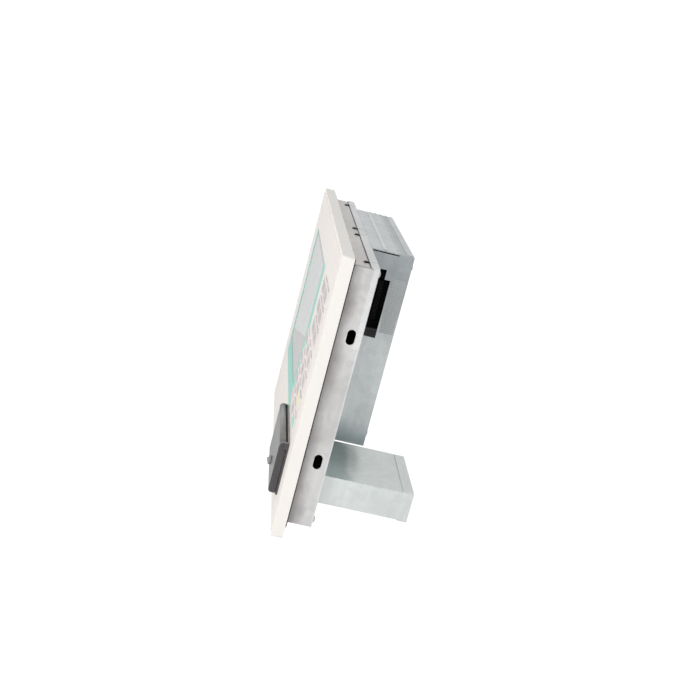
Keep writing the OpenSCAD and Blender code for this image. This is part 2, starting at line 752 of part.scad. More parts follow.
// Sheet-metal shell, open towards the rear cover
module computer_housing() {
    color([0.7, 0.73, 0.72]) difference() {
        union() {
            difference() {
                block([house_x0, house_x1], [house_y0, house_y1], [house_z0, house_z1]);
                block([house_x0 + skin_t, house_x1 - skin_t], [house_y0 - over, house_y1 - skin_t],
                      [house_z0 + skin_t, house_z1 - skin_t]);
            }
            // stiffening ribs on the top
            for (b = top_ribs) block([rib_x0, rib_x1], [house_y0 + b[0], house_y0 + b[0] + b[1]],
                                     [house_z1 - bite, house_z1 + rib_t]);
        }
        side_window();
        // gap under the top's near edge
        block([house_x1 - skin_t - over, house_x1 + over], [house_y0 + 1.5, house_y0 + 32],
              [house_z1 - skin_t - seam_h, house_z1 - skin_t]);
        // vents in the rear wall and in the far wall
        for (i = [0:11]) block([rear_vent_x + i * vent_pitch, rear_vent_x + i * vent_pitch + vent_w],
            [house_y1 - skin_t - over, house_y1 + over], [sink_z - 26, sink_z + 26]);
        for (i = [0:7]) block([house_x0 - over, house_x0 + skin_t + over],
            [house_y0 + 10, house_y0 + 38],
            [side_vent_z + i * vent_pitch, side_vent_z + i * vent_pitch + vent_w]);
        // bottom wall: inlet with switch, ports
        block([inlet_x0 - gap, inlet_x1 + gap],
              [inlet_y - inlet_h / 2 - gap, inlet_y + inlet_h / 2 + gap],
              [house_z0 - over, house_z0 + skin_t + over]);
        block([port_x0 + 3, port_x1 - 3], [port_y - port_d / 2 - 2, port_y + port_d / 2 + 2],
              [house_z0 - over, house_z0 + skin_t + over]);
        for (s = housing_points) rod_y(s, house_y1 - 4, house_y1 + over, screw_r);
        for (y = top_studs) translate([house_x0 + stud_inset, y, house_z1 - skin_t - over])
            cylinder(h = skin_t + 2 * over, r = small_r, $fn = 24);
        translate([bottom_screw_x, bottom_screw_y, house_z0 - over])
            cylinder(h = skin_t + 2 * over, r = small_r, $fn = 24);
    }
}

housing_points = [[house_x0 + 12, house_z0 + 12], [house_x1 - 14, house_z0 + 12],
                  [house_x0 + 12, house_z1 - 14], [house_x1 - 14, house_z1 - 14]];
top_studs = [for (i = [0:4]) house_y0 + 17 + i * 7.1];
bottom_screw_x = house_x1 - 6;
bottom_screw_y = house_y0 + 30;

module side_window() {
    block([house_x1 - skin_t - over, house_x1 + over], [window_y0, window_y0 + window_w],
          [window_z0, window_z0 + window_h]);
    block([house_x1 - skin_t - over, house_x1 + over], [window_y0 - 1, window_y0 - 1 + neck_w],
          [window_z0 + window_h - over, window_z0 + window_h + neck_h]);
}

module housing_screws() {
    color([0.82, 0.82, 0.8]) {
        for (p = housing_points) screw_y(p, house_y1, 4);
        for (y = top_studs) translate([house_x0 + stud_inset, y, house_z1]) {
            translate([0, 0, -3]) cylinder(h = 3 + bite, r = small_r, $fn = 24);
            cylinder(h = stud_head_h, r = stud_head_r, $fn = 24);
        }
        translate([bottom_screw_x, bottom_screw_y, house_z0]) {
            translate([0, 0, -2]) cylinder(h = 2, r = 3.2, $fn = 24);
            translate([0, 0, -bite]) cylinder(h = 3 + bite, r = small_r, $fn = 24);
        }
    }
}

module main_board() {
    color([0.12, 0.4, 0.3]) {
        block([main_x0, main_x1], [main_y, main_y + main_t], [main_z0, main_z1]);
        // processor, memory modules and connectors
        block([sink_x - 15, sink_x + 15], [main_y + main_t, sink_base_y], [sink_z - 15, sink_z + 15]);
        for (i = [0:2]) block([main_x1 - 60 + i * 10, main_x1 - 56 + i * 10],
            [main_y + main_t, main_y + main_t + 26], [main_z1 - 150, main_z1 - 20]);
        for (i = [0:3]) block([main_x0 + 10 + i * 34, main_x0 + 36 + i * 34],
            [main_y + main_t, main_y + main_t + 8], [main_z0 + 18, main_z0 + 26]);
    }
}

module heat_sink() {
    color([0.8, 0.81, 0.82]) {
        block([sink_x - sink_w / 2, sink_x + sink_w / 2], [sink_base_y, sink_base_y + sink_base_t],
              [sink_z - sink_w / 2, sink_z + sink_w / 2]);
        for (x = [sink_x - sink_w / 2 : fin_pitch : sink_x + sink_w / 2 - fin_t + run])
            block([x, x + fin_t], [sink_base_y + sink_base_t - bite, fan_y],
                  [sink_z - sink_w / 2, sink_z + sink_w / 2]);
    }
}

module fan_frame() {
    color([0.1, 0.1, 0.1]) difference() {
        union() {
            flat(fan_y, fan_y + fan_d) difference() {
                centred(sink_x, sink_z, fan_w, fan_w, 3);
                translate([sink_x, sink_z]) circle(r = fan_w / 2 - 1.8, $fn = 64);
            }
            flat(fan_y, fan_y + 1.5) {
                translate([sink_x, sink_z]) circle(r = hub_r, $fn = 48);
                for (a = [45, 165, 285]) translate([sink_x, sink_z]) rotate(a)
                    translate([0, -1.5]) square([fan_w / 2 - 1, 3]);
            }
        }
        rod_y([sink_x, sink_z], fan_y - over, fan_y + 2, shaft_r + run);
    }
}

module fan_rotor() {
    color([0.16, 0.16, 0.17]) {
        rod_y([sink_x, sink_z], fan_y + 0.2, fan_y + fan_d - 1, shaft_r);
        rod_y([sink_x, sink_z], fan_y + 1.8, fan_y + fan_d - 1, hub_r);
        for (i = [0 : blades - 1]) translate([sink_x, fan_y + fan_d / 2 + 0.6, sink_z])
            rotate([0, i * 360 / blades, 0]) translate([hub_r - 1, 0, 0]) rotate([blade_angle, 0, 0])
                translate([0, -0.6, -4.6]) cube([rotor_r - hub_r - 1, 1.2, 9.2]);
    }
}

supply_x0 = house_x0 + 186;
supply_x1 = house_x1 - skin_t - 4;
supply_z0 = house_z0 + 30;
supply_z1 = supply_z0 + 66;
supply_d = 40;

module power_supply() {
    color([0.66, 0.67, 0.67]) difference() {
        block([supply_x0, supply_x1], [house_y0, house_y0 + supply_d], [supply_z0, supply_z1]);
        for (x = [supply_x0 + 8 : 7 : supply_x1 - 8]) block([x, x + 3],
            [house_y0 + supply_d - 1, house_y0 + supply_d + over], [supply_z0 + 10, supply_z1 - 10]);
    }
}

module hard_disk() {
    w = 70;
    l = 100;
    t = 9.5;
    x = supply_x0 + 2;
    z = house_z1 - l - 8;
    color([0.75, 0.76, 0.77]) {
        block([x, x + w], [house_y0, house_y0 + t], [z, z + l]);
        rod_y([x + w / 2, z + 58], house_y0 + t - bite, house_y0 + t + 1, 26);
    }
}

// Black tray behind the side window, with rails for the latch
module side_tray() {
    y0 = window_y0 - tray_t;
    y1 = window_y0 + window_w + tray_t;
    z1 = window_z0 + window_h + neck_h + 1;
    color([0.06, 0.065, 0.07]) difference() {
        block([tray_x0, house_x1 - skin_t], [y0, y1], [window_z0 - tray_t, z1]);
        block([tray_x0 + tray_t, house_x1 + over], [window_y0, window_y0 + window_w],
              [window_z0, window_z0 + window_h]);
        block([tray_x0 + tray_t, house_x1 + over], [window_y0 - 0.2, window_y0 + neck_w - 1],
              [window_z0 + window_h - over, window_z0 + window_h + neck_h]);
        // grooves that guide the latch and end its travel
        block([latch_x - 2 - gap, latch_x + 2 + gap],
              [window_y0 - groove_d, window_y0 + window_w + groove_d],
              [window_z0, window_z0 + 2 * gap + latch_l + latch_travel]);
    }
}

// Sliding latch in the lower end of the window
module side_latch() {
    z0 = window_z0 + gap;
    color([0.12, 0.12, 0.125]) {
        difference() {
            block([house_x1 - skin_t - 9, house_x1 - 0.6],
                  [window_y0 + gap, window_y0 + window_w - gap], [z0, z0 + latch_l]);
            for (i = [0:2]) block([house_x1 - 1.4, house_x1],
                [window_y0 + 2.5, window_y0 + window_w - 2.5],
                [z0 + 2.7 + i * 2.2, z0 + 3.6 + i * 2.2]);
        }
        // lugs in the tray's grooves
        for (y = [window_y0 - groove_d + gap, window_y0 + window_w - bite])
            block([latch_x - 2, latch_x + 2], [y, y + groove_d - gap + bite], [z0, z0 + latch_l]);
    }
}

module rating_label() {
    color([0.66, 0.69, 0.69]) block([house_x1, house_x1 + 0.2], [house_y0 + 31.5, house_y1 - 1.5],
                                    [house_z0 + 136, house_z0 + 199]);
}

// Mains inlet and switch frame in the housing's bottom wall
module power_inlet() {
    z1 = house_z0 + inlet_d;
    color([0.08, 0.08, 0.085]) difference() {
        union() {
            block([inlet_x0 - inlet_rim, inlet_x1 + inlet_rim],
                  [inlet_y - inlet_h / 2 - inlet_rim, inlet_y + inlet_h / 2 + inlet_rim],
                  [house_z0 - inlet_lip, house_z0]);
            block([inlet_x0, inlet_x1], [inlet_y - inlet_h / 2, inlet_y + inlet_h / 2],
                  [house_z0 - bite, z1]);
        }
        block([inlet_x - 12, inlet_x + 12], [inlet_y - 8, inlet_y + 8],
              [house_z0 - inlet_lip - over, z1 - 2]);
        block([rocker_x - rocker_w / 2 - gap, rocker_x + rocker_w / 2 + gap],
              [inlet_y - rocker_l / 2 - gap - 1.4, inlet_y + rocker_l / 2 + gap + 1.4],
              [house_z0 - inlet_lip - over, z1 - 2]);
        rod_x([inlet_y, rocker_axis_z], rocker_x - rocker_w / 2 - 2, rocker_x + rocker_w / 2 + 2,
              1 + run);
    }
    color([0.8, 0.75, 0.5]) for (d = [[-7, 2], [0, -3], [7, 2]])
        block([inlet_x + d[0] - 2, inlet_x + d[0] + 2], [inlet_y + d[1] - 1, inlet_y + d[1] + 1],
              [house_z0 + 6, z1 - 1]);
}

rocker_axis_z = house_z0 + 3.5;

module power_rocker() {
    color([0.16, 0.16, 0.16]) {
        rod_x([inlet_y, rocker_axis_z], rocker_x - rocker_w / 2 - 1.7,
              rocker_x + rocker_w / 2 + 1.7, 1);
        difference() {
            block([rocker_x - rocker_w / 2, rocker_x + rocker_w / 2],
                  [inlet_y - rocker_l / 2, inlet_y + rocker_l / 2],
                  [house_z0 - 3.5, rocker_axis_z + 3]);
            // tilted front face, so that each end can go in
            translate([0, inlet_y, house_z0 - 2]) rotate([-rocker_angle, 0, 0])
                block([rocker_x - rocker_w, rocker_x + rocker_w], [0, 20], [-20, 0]);
        }
    }
}

port_x0 = main_x0 + 20;
port_x1 = port_x0 + 120;
port_y = house_y0 + 22;
port_l = 30;
port_d = 12;
port_pitch = 37;

module port_panel() {
    color([0.78, 0.79, 0.8]) {
        block([port_x0, port_x1], [port_y - port_d, port_y + port_d], [house_z0 - 1, house_z0]);
        for (i = [0:2]) block([port_x0 + 8 + i * port_pitch, port_x0 + 8 + i * port_pitch + port_l],
            [port_y - port_d / 2, port_y + port_d / 2], [house_z0 - 6, house_z0 + 8]);
    }
}

// Sheet-metal sleeve around the disk drive, closed by a lid at the rear
module drive_bay() {
    color([0.84, 0.86, 0.85]) difference() {
        union() {
            swept(bay_x0, bay_x1) centred((frame_d + bay_rear - skin_t) / 2, (bay_z0 + bay_z1) / 2,
                bay_rear - skin_t - frame_d, bay_h, 0.6);
            block([bay_x0 - 8, bay_x1 + 8], [frame_d, frame_d + skin_t], [bay_z0, bay_z1]);
        }
        block([bay_x0 + skin_t, bay_x1 - skin_t], [frame_d - over, bay_rear + over],
              [bay_z0 + skin_t, bay_z1 - skin_t]);
    }
    // rails that carry the drive
    color([0.84, 0.86, 0.85]) for (s = [-1, 1]) {
        x = drive_x + s * (drive_w / 2 - 10);
        block([x - 6, x + 6], [frame_d + 4, drive_y + drive_d - 4],
              [bay_z0 + skin_t - bite, drive_z0 + case_step]);
    }
}

module bay_lid() {
    color([0.8, 0.82, 0.81]) difference() {
        union() {
            block([bay_x0, bay_x1], [bay_rear - skin_t, bay_rear], [bay_z0, bay_z1]);
            for (z = [bay_z0 - lip_t, bay_z1]) block([bay_x0 + 3, bay_x1],
                [bay_rear - 12, bay_rear], [z, z + lip_t]);
        }
        for (x = [bay_x0 + 10 : 10 : bay_x1 - 16]) block([x, x + 6],
            [bay_rear - skin_t - over, bay_rear + over], [bay_z0 + 8, bay_z0 + 11]);
    }
}

for (k = keys) key_cap(k);
bezel();
front_foil();
screen_trim();
display_glass();
lcd_module();
lcd_bracket();
backlight_inverter();
bezel_gasket();
key_board();
status_lamps();
door_frame();
drive_door();
door_pin();
door_knob();
drive_body();
drive_button();
drive_flap();
front_socket();
socket_caps();
mounting_frame();
rear_cover();
cover_screws();
frame_screws();
computer_housing();
housing_screws();
main_board();
heat_sink();
fan_frame();
fan_rotor();
power_supply();
hard_disk();
side_tray();
side_latch();
rating_label();
power_inlet();
power_rocker();
port_panel();
drive_bay();
bay_lid();
earth_stud();
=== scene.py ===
import math
import bmesh
import bpy
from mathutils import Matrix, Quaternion, Vector


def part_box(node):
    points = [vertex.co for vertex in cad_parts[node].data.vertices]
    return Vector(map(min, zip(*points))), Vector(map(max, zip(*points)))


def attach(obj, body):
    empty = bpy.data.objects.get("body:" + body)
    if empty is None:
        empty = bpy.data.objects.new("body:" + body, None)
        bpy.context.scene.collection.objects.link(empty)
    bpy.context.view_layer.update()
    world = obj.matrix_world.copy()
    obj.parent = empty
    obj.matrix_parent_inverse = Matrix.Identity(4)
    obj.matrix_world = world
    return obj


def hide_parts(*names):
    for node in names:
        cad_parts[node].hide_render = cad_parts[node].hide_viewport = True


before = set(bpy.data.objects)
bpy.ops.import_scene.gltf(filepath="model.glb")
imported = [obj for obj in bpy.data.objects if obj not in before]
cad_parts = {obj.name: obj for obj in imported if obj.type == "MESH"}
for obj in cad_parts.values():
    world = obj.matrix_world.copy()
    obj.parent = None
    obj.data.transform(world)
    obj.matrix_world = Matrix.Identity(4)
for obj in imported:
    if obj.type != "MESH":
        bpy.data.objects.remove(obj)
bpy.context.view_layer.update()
mm = 0.001


def addNode(tree, kind, given=None, **settings):   # one node, its inputs linked or set
    node = tree.nodes.new(kind)
    for label, value in settings.items():
        setattr(node, label, value)
    for label, value in (given or {}).items():
        if isinstance(value, bpy.types.NodeSocket):
            tree.links.new(value, node.inputs[label])
        else:
            node.inputs[label].default_value = value
    return node


def sums(tree, operation, *values):
    return addNode(tree, "ShaderNodeMath", dict(enumerate(values)),
                   operation=operation).outputs[0]


def spread(tree, value, low, high, toLow=0.0, toHigh=1.0):
    return addNode(tree, "ShaderNodeMapRange",
                   {"Value": value, "From Min": low, "From Max": high,
                    "To Min": toLow, "To Max": toHigh}).outputs["Result"]


# Camera, floor and lamps
view = {
    "place": (1.3425, -0.1205, 0.3548),
    "aim": (0.0, 0.0302, 0.0102),
    "roll": 14.72,   # degrees round the line of sight
    "lens": 60.5,
}
studio = {
    "floorHeight": -0.62,
    "floorSize": 14.0,
    "floorTone": 0.84,
    "white": 1.1,        # how bright floor and sky look to the camera
    "skyLow": 0.88,      # what the object reflects near the horizon
    "skyHigh": 0.62,     # and overhead
}
lamps = {
    "keyLamp": {"place": (2.0, -1.1, 0.7), "aim": (0, 0, 0), "size": 1.2, "power": 20},
    "frontLamp": {"place": (0.2, -2.2, 0.6), "aim": (0, 0, 0), "size": 1.4, "power": 11},
}


def turnTo(place, aim, roll=0.0):
    direction = Vector(aim) - Vector(place)
    return direction.to_track_quat("-Z", "Y") @ Quaternion((0, 0, 1), math.radians(roll))


def makeCamera():
    data = bpy.data.cameras.new("camera")
    data.lens = view["lens"]
    data.sensor_width = 36
    data.clip_start = 0.02
    data.clip_end = 60
    camera = bpy.data.objects.new("camera", data)
    bpy.context.scene.collection.objects.link(camera)
    camera.rotation_mode = "QUATERNION"
    camera.location = view["place"]
    camera.rotation_quaternion = turnTo(view["place"], view["aim"], view["roll"])
    bpy.context.scene.camera = camera


def makeSky():   # plain white behind, and in reflections a softer one that darkens overhead
    world = bpy.data.worlds.new("sky")
    bpy.context.scene.world = world
    world.use_nodes = True
    tree = world.node_tree
    tree.nodes.clear()
    direction = addNode(tree, "ShaderNodeTexCoord").outputs["Generated"]
    up = addNode(tree, "ShaderNodeSeparateXYZ", {0: direction}).outputs["Z"]
    glow = spread(tree, up, 0.0, 0.8, studio["skyLow"], studio["skyHigh"])
    around = addNode(tree, "ShaderNodeBackground", {"Strength": glow})
    around.inputs["Color"].default_value = (0.985, 0.995, 1.0, 1)
    behind = addNode(tree, "ShaderNodeBackground", {"Strength": studio["white"]})
    behind.inputs["Color"].default_value = (1, 1, 1, 1)
    seen = addNode(tree, "ShaderNodeLightPath").outputs["Is Camera Ray"]
    both = addNode(tree, "ShaderNodeMixShader", {0: seen, 1: around.outputs[0],
                                                 2: behind.outputs[0]})
    addNode(tree, "ShaderNodeOutputWorld", {"Surface": both.outputs[0]})


def makeFloor():
    mesh = bpy.data.meshes.new("floor")
    half = studio["floorSize"] / 2
    corners = [(-half, -half), (half, -half), (half, half), (-half, half)]
    mesh.from_pydata([(x, y, studio["floorHeight"]) for x, y in corners], [], [(0, 1, 2, 3)])
    floor = bpy.data.objects.new("floor", mesh)
    bpy.context.scene.collection.objects.link(floor)
    paper = bpy.data.materials.new("floorPaper")
    paper.use_nodes = True
    tree = paper.node_tree
    tree.nodes.clear()
    tone = studio["floorTone"]
    lit = addNode(tree, "ShaderNodeBsdfDiffuse", {"Color": (tone, tone, tone, 1)})
    white = addNode(tree, "ShaderNodeEmission", {"Strength": studio["white"]})
    seen = addNode(tree, "ShaderNodeLightPath").outputs["Is Camera Ray"]
    both = addNode(tree, "ShaderNodeMixShader", {0: seen, 1: lit.outputs[0],
                                                 2: white.outputs[0]})
    addNode(tree, "ShaderNodeOutputMaterial", {"Surface": both.outputs[0]})
    mesh.materials.append(paper)


def makeLamps():
    for name, lamp in lamps.items():
        data = bpy.data.lights.new(name, "AREA")
        data.energy = lamp["power"]
        data.size = lamp["size"]
        light = bpy.data.objects.new(name, data)
        bpy.context.scene.collection.objects.link(light)
        light.rotation_mode = "QUATERNION"
        light.location = lamp["place"]
        light.rotation_quaternion = turnTo(lamp["place"], lamp["aim"])
    settings = bpy.context.scene.view_settings
    settings.view_transform = "Standard"
    settings.look = "None"


makeCamera()
makeSky()
makeFloor()
makeLamps()
print("stage: camera, sky, floor and lamps")


# Shader groups, shared by the finishes
def newGroup(name, inputs, outputs):
    tree = bpy.data.node_groups.new(name, "ShaderNodeTree")
    for label, value in inputs.items():
        socket = tree.interface.new_socket(label, in_out="INPUT",
                                           socket_type="NodeSocketFloat")
        socket.default_value = value
    for label in outputs:
        tree.interface.new_socket(label, in_out="OUTPUT", socket_type="NodeSocketFloat")
    given = addNode(tree, "NodeGroupInput").outputs
    return tree, given, addNode(tree, "NodeGroupOutput")


def objectPlace(tree, stretch=None):
    place = addNode(tree, "ShaderNodeTexCoord").outputs["Object"]
    if stretch is None:
        return place
    return addNode(tree, "ShaderNodeMapping", {"Vector": place, "Scale": stretch}).outputs[0]


def noise(tree, place, scale, detail=3.0, rough=0.5):
    return addNode(tree, "ShaderNodeTexNoise",
                   {"Vector": place, "Scale": scale, "Detail": detail,
                    "Roughness": rough}).outputs[0]


def makeGrain():   # fine skin of paint or moulded plastic, with a broad cloudy tone
    tree, given, result = newGroup("fineGrain", {"Scale": 900.0}, ["Height", "Tone"])
    place = objectPlace(tree)
    tree.links.new(noise(tree, place, given["Scale"], 2.0), result.inputs["Height"])
    tree.links.new(noise(tree, place, 16.0, 4.0, 0.6), result.inputs["Tone"])
    return tree


def makeEdgeWearAndSheen():   # where corners rub bare, with a painted highlight along them
    tree, given, result = newGroup("edgeWearAndSheen", {"Width": 0.0012, "Breakup": 220.0}, ["Mask"])
    soft = addNode(tree, "ShaderNodeBevel", {"Radius": given["Width"]}, samples=4)
    flat = addNode(tree, "ShaderNodeNewGeometry").outputs["Normal"]
    bend = addNode(tree, "ShaderNodeVectorMath", {0: soft.outputs[0], 1: flat},
                   operation="DOT_PRODUCT").outputs["Value"]
    speckle = noise(tree, objectPlace(tree), given["Breakup"], 4.0, 0.65)
    patch = spread(tree, speckle, 0.42, 0.6)
    edge = spread(tree, bend, 0.995, 0.86)
    tree.links.new(sums(tree, "MULTIPLY", edge, patch), result.inputs["Mask"])
    return tree


def makeDust():   # thin dust on faces that look up
    tree, given, result = newGroup("dust", {"Amount": 0.3}, ["Mask"])
    flat = addNode(tree, "ShaderNodeNewGeometry").outputs["Normal"]
    up = addNode(tree, "ShaderNodeSeparateXYZ", {0: flat}).outputs["Z"]
    patch = spread(tree, noise(tree, objectPlace(tree), 45.0, 6.0, 0.65), 0.35, 0.75)
    mask = sums(tree, "MULTIPLY", spread(tree, up, 0.35, 0.95), patch)
    tree.links.new(sums(tree, "MULTIPLY", mask, given["Amount"]), result.inputs["Mask"])
    return tree


def makeZincSkin():   # soft clouds, rolling streaks and faint crystals of galvanised sheet
    tree, given, result = newGroup("zincSkin", {"Crystals": 150.0, "Clouds": 9.0},
                                   ["Tone", "Rough", "Height"])
    place = objectPlace(tree)
    bend = addNode(tree, "ShaderNodeTexNoise", {"Vector": place, "Scale": 70.0})
    shifted = addNode(tree, "ShaderNodeVectorMath",
                      {0: bend.outputs["Color"], 1: (0.006, 0.006, 0.006), 2: place},
                      operation="MULTIPLY_ADD").outputs[0]
    cells = addNode(tree, "ShaderNodeTexVoronoi", {"Vector": shifted,
                                                   "Scale": given["Crystals"]})
    grey = addNode(tree, "ShaderNodeSeparateColor", {0: cells.outputs["Color"]})
    cloud = noise(tree, place, given["Clouds"], 3.0, 0.5)
    streak = noise(tree, objectPlace(tree, (170.0, 170.0, 7.0)), 1.0, 3.0, 0.55)
    tone = sums(tree, "MULTIPLY_ADD", grey.outputs[0], 0.1,
                sums(tree, "MULTIPLY_ADD", streak, 0.22, sums(tree, "MULTIPLY", cloud, 0.68)))
    rough = sums(tree, "MULTIPLY_ADD", grey.outputs[1], 0.15,
                 sums(tree, "MULTIPLY_ADD", streak, 0.35, sums(tree, "MULTIPLY", cloud, 0.5)))
    fine = noise(tree, place, 420.0, 3.0)
    wave = noise(tree, place, 13.0, 1.0)
    tree.links.new(tone, result.inputs["Tone"])
    tree.links.new(rough, result.inputs["Rough"])
    tree.links.new(sums(tree, "MULTIPLY_ADD", fine, 0.04, wave), result.inputs["Height"])
    return tree


def makePaintedShadeMask():   # painted light and shade: a cloudy tone that fades along an axis, on faces that look one way
    facings, axes = ("side", "up"), ("Y", "Z")
    tree, given, result = newGroup("paintedShadeMask", {"Start": 0.0, "End": 0.01, "Ragged": 0.003},
                                   ["Facing " + label for label in facings]
                                   + ["Along " + label for label in axes])
    normal = addNode(tree, "ShaderNodeNewGeometry").outputs["Normal"]
    normal = addNode(tree, "ShaderNodeSeparateXYZ", {0: normal}).outputs
    for label, axis in zip(facings, ("X", "Z")):
        mask = spread(tree, normal[axis], 0.4, 0.8)
        tree.links.new(mask, result.inputs["Facing " + label])
    place = objectPlace(tree)
    cloud = noise(tree, place, 26.0, 2.0, 0.45)
    shift = sums(tree, "MULTIPLY", sums(tree, "SUBTRACT", cloud, 0.5),
                 sums(tree, "MULTIPLY", given["Ragged"], 6.0))
    place = addNode(tree, "ShaderNodeSeparateXYZ", {0: place}).outputs
    for label in axes:
        along = sums(tree, "ADD", place[label], shift)
        mask = spread(tree, along, given["End"], given["Start"])
        tree.links.new(mask, result.inputs["Along " + label])
    return tree


def makeFieldLines():   # rows of short marks, as on a blank form
    tree, given, result = newGroup("fieldLines", {"Rows": 420.0, "Words": 240.0}, ["Mask"])
    place = addNode(tree, "ShaderNodeSeparateXYZ", {0: objectPlace(tree)})
    row = sums(tree, "MULTIPLY", place.outputs["Z"], given["Rows"])
    line = spread(tree, sums(tree, "FRACT", row), 0.45, 0.55)
    rowNumber = sums(tree, "FLOOR", row)
    along = sums(tree, "MULTIPLY_ADD", place.outputs["Y"], given["Words"],
                 sums(tree, "MULTIPLY", rowNumber, 7.31))
    words = addNode(tree, "ShaderNodeTexNoise", {"W": along, "Scale": 1.0, "Detail": 1.0},
                    noise_dimensions="1D").outputs[0]
    tree.links.new(sums(tree, "MULTIPLY", line, spread(tree, words, 0.46, 0.54)),
                   result.inputs["Mask"])
    return tree


groups = {"grain": makeGrain(), "wearAndSheen": makeEdgeWearAndSheen(), "dust": makeDust(),
          "zinc": makeZincSkin(), "paintedShadeMask": makePaintedShadeMask(), "fields": makeFieldLines()}
print("stage: shader groups")


# Finishes
def placeGroup(tree, name, **values):
    return addNode(tree, "ShaderNodeGroup", values, node_tree=groups[name])


def mixColour(tree, factor, a, b, blend="MIX"):
    return addNode(tree, "ShaderNodeMix", {"Factor": factor, 6: a, 7: b}, data_type="RGBA",
                   blend_type=blend).outputs[2]


def shade(colour, factor):
    return tuple(min(1.0, c * factor) for c in colour) + (1.0,)


def newShader(name, metallic=0.0, coat=0.0, coatRough=0.05, specular=0.5):
    material = bpy.data.materials.new(name)
    material.use_nodes = True
    tree = material.node_tree
    shader = tree.nodes["Principled BSDF"]
    shader.inputs["Metallic"].default_value = metallic
    shader.inputs["Specular IOR Level"].default_value = specular
    shader.inputs["Coat Weight"].default_value = coat
    shader.inputs["Coat Roughness"].default_value = coatRough
    return material, tree, shader


def addBump(tree, shader, height, strength, distance):
    bump = addNode(tree, "ShaderNodeBump", {"Height": height, "Strength": strength,
                                            "Distance": distance})
    tree.links.new(bump.outputs[0], shader.inputs["Normal"])


def moulded(name, colour, rough=0.45, variation=0.05, grain=900.0, bump=0.12, wearAndSheen=0.15,
            wornAndLit=1.25, dust=0.08, coat=0.0, coatRough=0.05, specular=0.5):   # paint, plastic
    material, tree, shader = newShader(name, 0.0, coat, coatRough, specular)
    skin = placeGroup(tree, "grain", Scale=grain)
    tone = skin.outputs["Tone"]
    base = mixColour(tree, spread(tree, tone, 0.3, 0.7), shade(colour, 1 - variation),
                     shade(colour, 1 + variation))
    # edges lighter: rubbed wear and a painted highlight
    edge = sums(tree, "MULTIPLY", placeGroup(tree, "wearAndSheen").outputs["Mask"], wearAndSheen)
    base = mixColour(tree, edge, base, shade(colour, wornAndLit))
    dusty = placeGroup(tree, "dust", Amount=dust).outputs["Mask"]
    base = mixColour(tree, dusty, base, (0.62, 0.59, 0.55, 1))
    tree.links.new(base, shader.inputs["Base Color"])
    tree.links.new(spread(tree, tone, 0.25, 0.75, rough - 0.06, rough + 0.06),
                   shader.inputs["Roughness"])
    addBump(tree, shader, skin.outputs["Height"], bump, 0.0002)
    return material


def zincSheet(name, colour, rough=0.4, contrast=0.12, metallic=0.8, edgeTone=1.15,
              paintedShading=()):
    material, tree, shader = newShader(name, metallic)
    zinc = placeGroup(tree, "zinc")
    base = mixColour(tree, spread(tree, zinc.outputs["Tone"], 0.34, 0.66),
                     shade(colour, 1 - contrast), shade(colour, 1 + contrast))
    for facing, axis, start, end, ragged, tone in paintedShading:   # painted light and shade: tone from start on, none by end
        mask = placeGroup(tree, "paintedShadeMask", Start=start * mm, End=end * mm, Ragged=ragged * mm)
        mask = sums(tree, "MULTIPLY", mask.outputs["Facing " + facing],
                    mask.outputs["Along " + axis])
        tint = mixColour(tree, mask, (1, 1, 1, 1), tuple(tone) + (1,))
        base = mixColour(tree, 1.0, base, tint, "MULTIPLY")
    # edges lighter: rubbed wear and a painted highlight
    edge = placeGroup(tree, "wearAndSheen", Width=0.0007, Breakup=90.0).outputs["Mask"]
    base = mixColour(tree, sums(tree, "MULTIPLY", edge, 0.4), base, shade(colour, edgeTone))
    dusty = placeGroup(tree, "dust", Amount=0.1).outputs["Mask"]
    base = mixColour(tree, dusty, base, shade(colour, 0.8))
    tree.links.new(base, shader.inputs["Base Color"])
    tree.links.new(spread(tree, zinc.outputs["Rough"], 0.3, 0.7, rough - 0.07, rough + 0.07),
                   shader.inputs["Roughness"])
    addBump(tree, shader, zinc.outputs["Height"], 0.5, 0.0006)
    return material


def drawn(name, colour, rough=0.3, stretch=(40.0, 40.0, 900.0), bump=0.1):   # brushed metal
    material, tree, shader = newShader(name, 1.0)
    streak = noise(tree, objectPlace(tree, stretch), 1.0, 4.0, 0.6)
    base = mixColour(tree, spread(tree, streak, 0.3, 0.7), shade(colour, 0.9),
                     shade(colour, 1.08))
    tree.links.new(base, shader.inputs["Base Color"])
    tree.links.new(spread(tree, streak, 0.3, 0.7, rough - 0.05, rough + 0.1),
                   shader.inputs["Roughness"])
    addBump(tree, shader, streak, bump, 0.0001)
    return material


def circuitBoard(name):   # lacquered board with copper tracks
    material, tree, shader = newShader(name, coat=0.4, coatRough=0.15)
    tracks = addNode(tree, "ShaderNodeTexBrick",
                     {"Vector": objectPlace(tree), "Scale": 160.0,
                      "Color1": (0.02, 0.14, 0.07, 1), "Color2": (0.03, 0.2, 0.1, 1),
                      "Mortar": (0.35, 0.28, 0.1, 1), "Mortar Size": 0.03})
    tree.links.new(tracks.outputs["Color"], shader.inputs["Base Color"])
    shader.inputs["Roughness"].default_value = 0.4
    addBump(tree, shader, tracks.outputs["Fac"], 0.2, 0.0001)
    return material


screen = {
    "border": 6.0,       # millimetres of printed border round the picture
    "soft": 0.1,         # half the width of its printed edges
    "picture": (0.79, 0.8, 0.785),
    "lower": (0.56, 0.545, 0.535),   # painted shade: the darker part at the bottom
    "lowerLeft": 0.08,   # its share of the height at the left and right edges
    "lowerRight": 0.4,
    "print": (0.5, 0.5, 0.5),
    "dots": 1500.0,
}


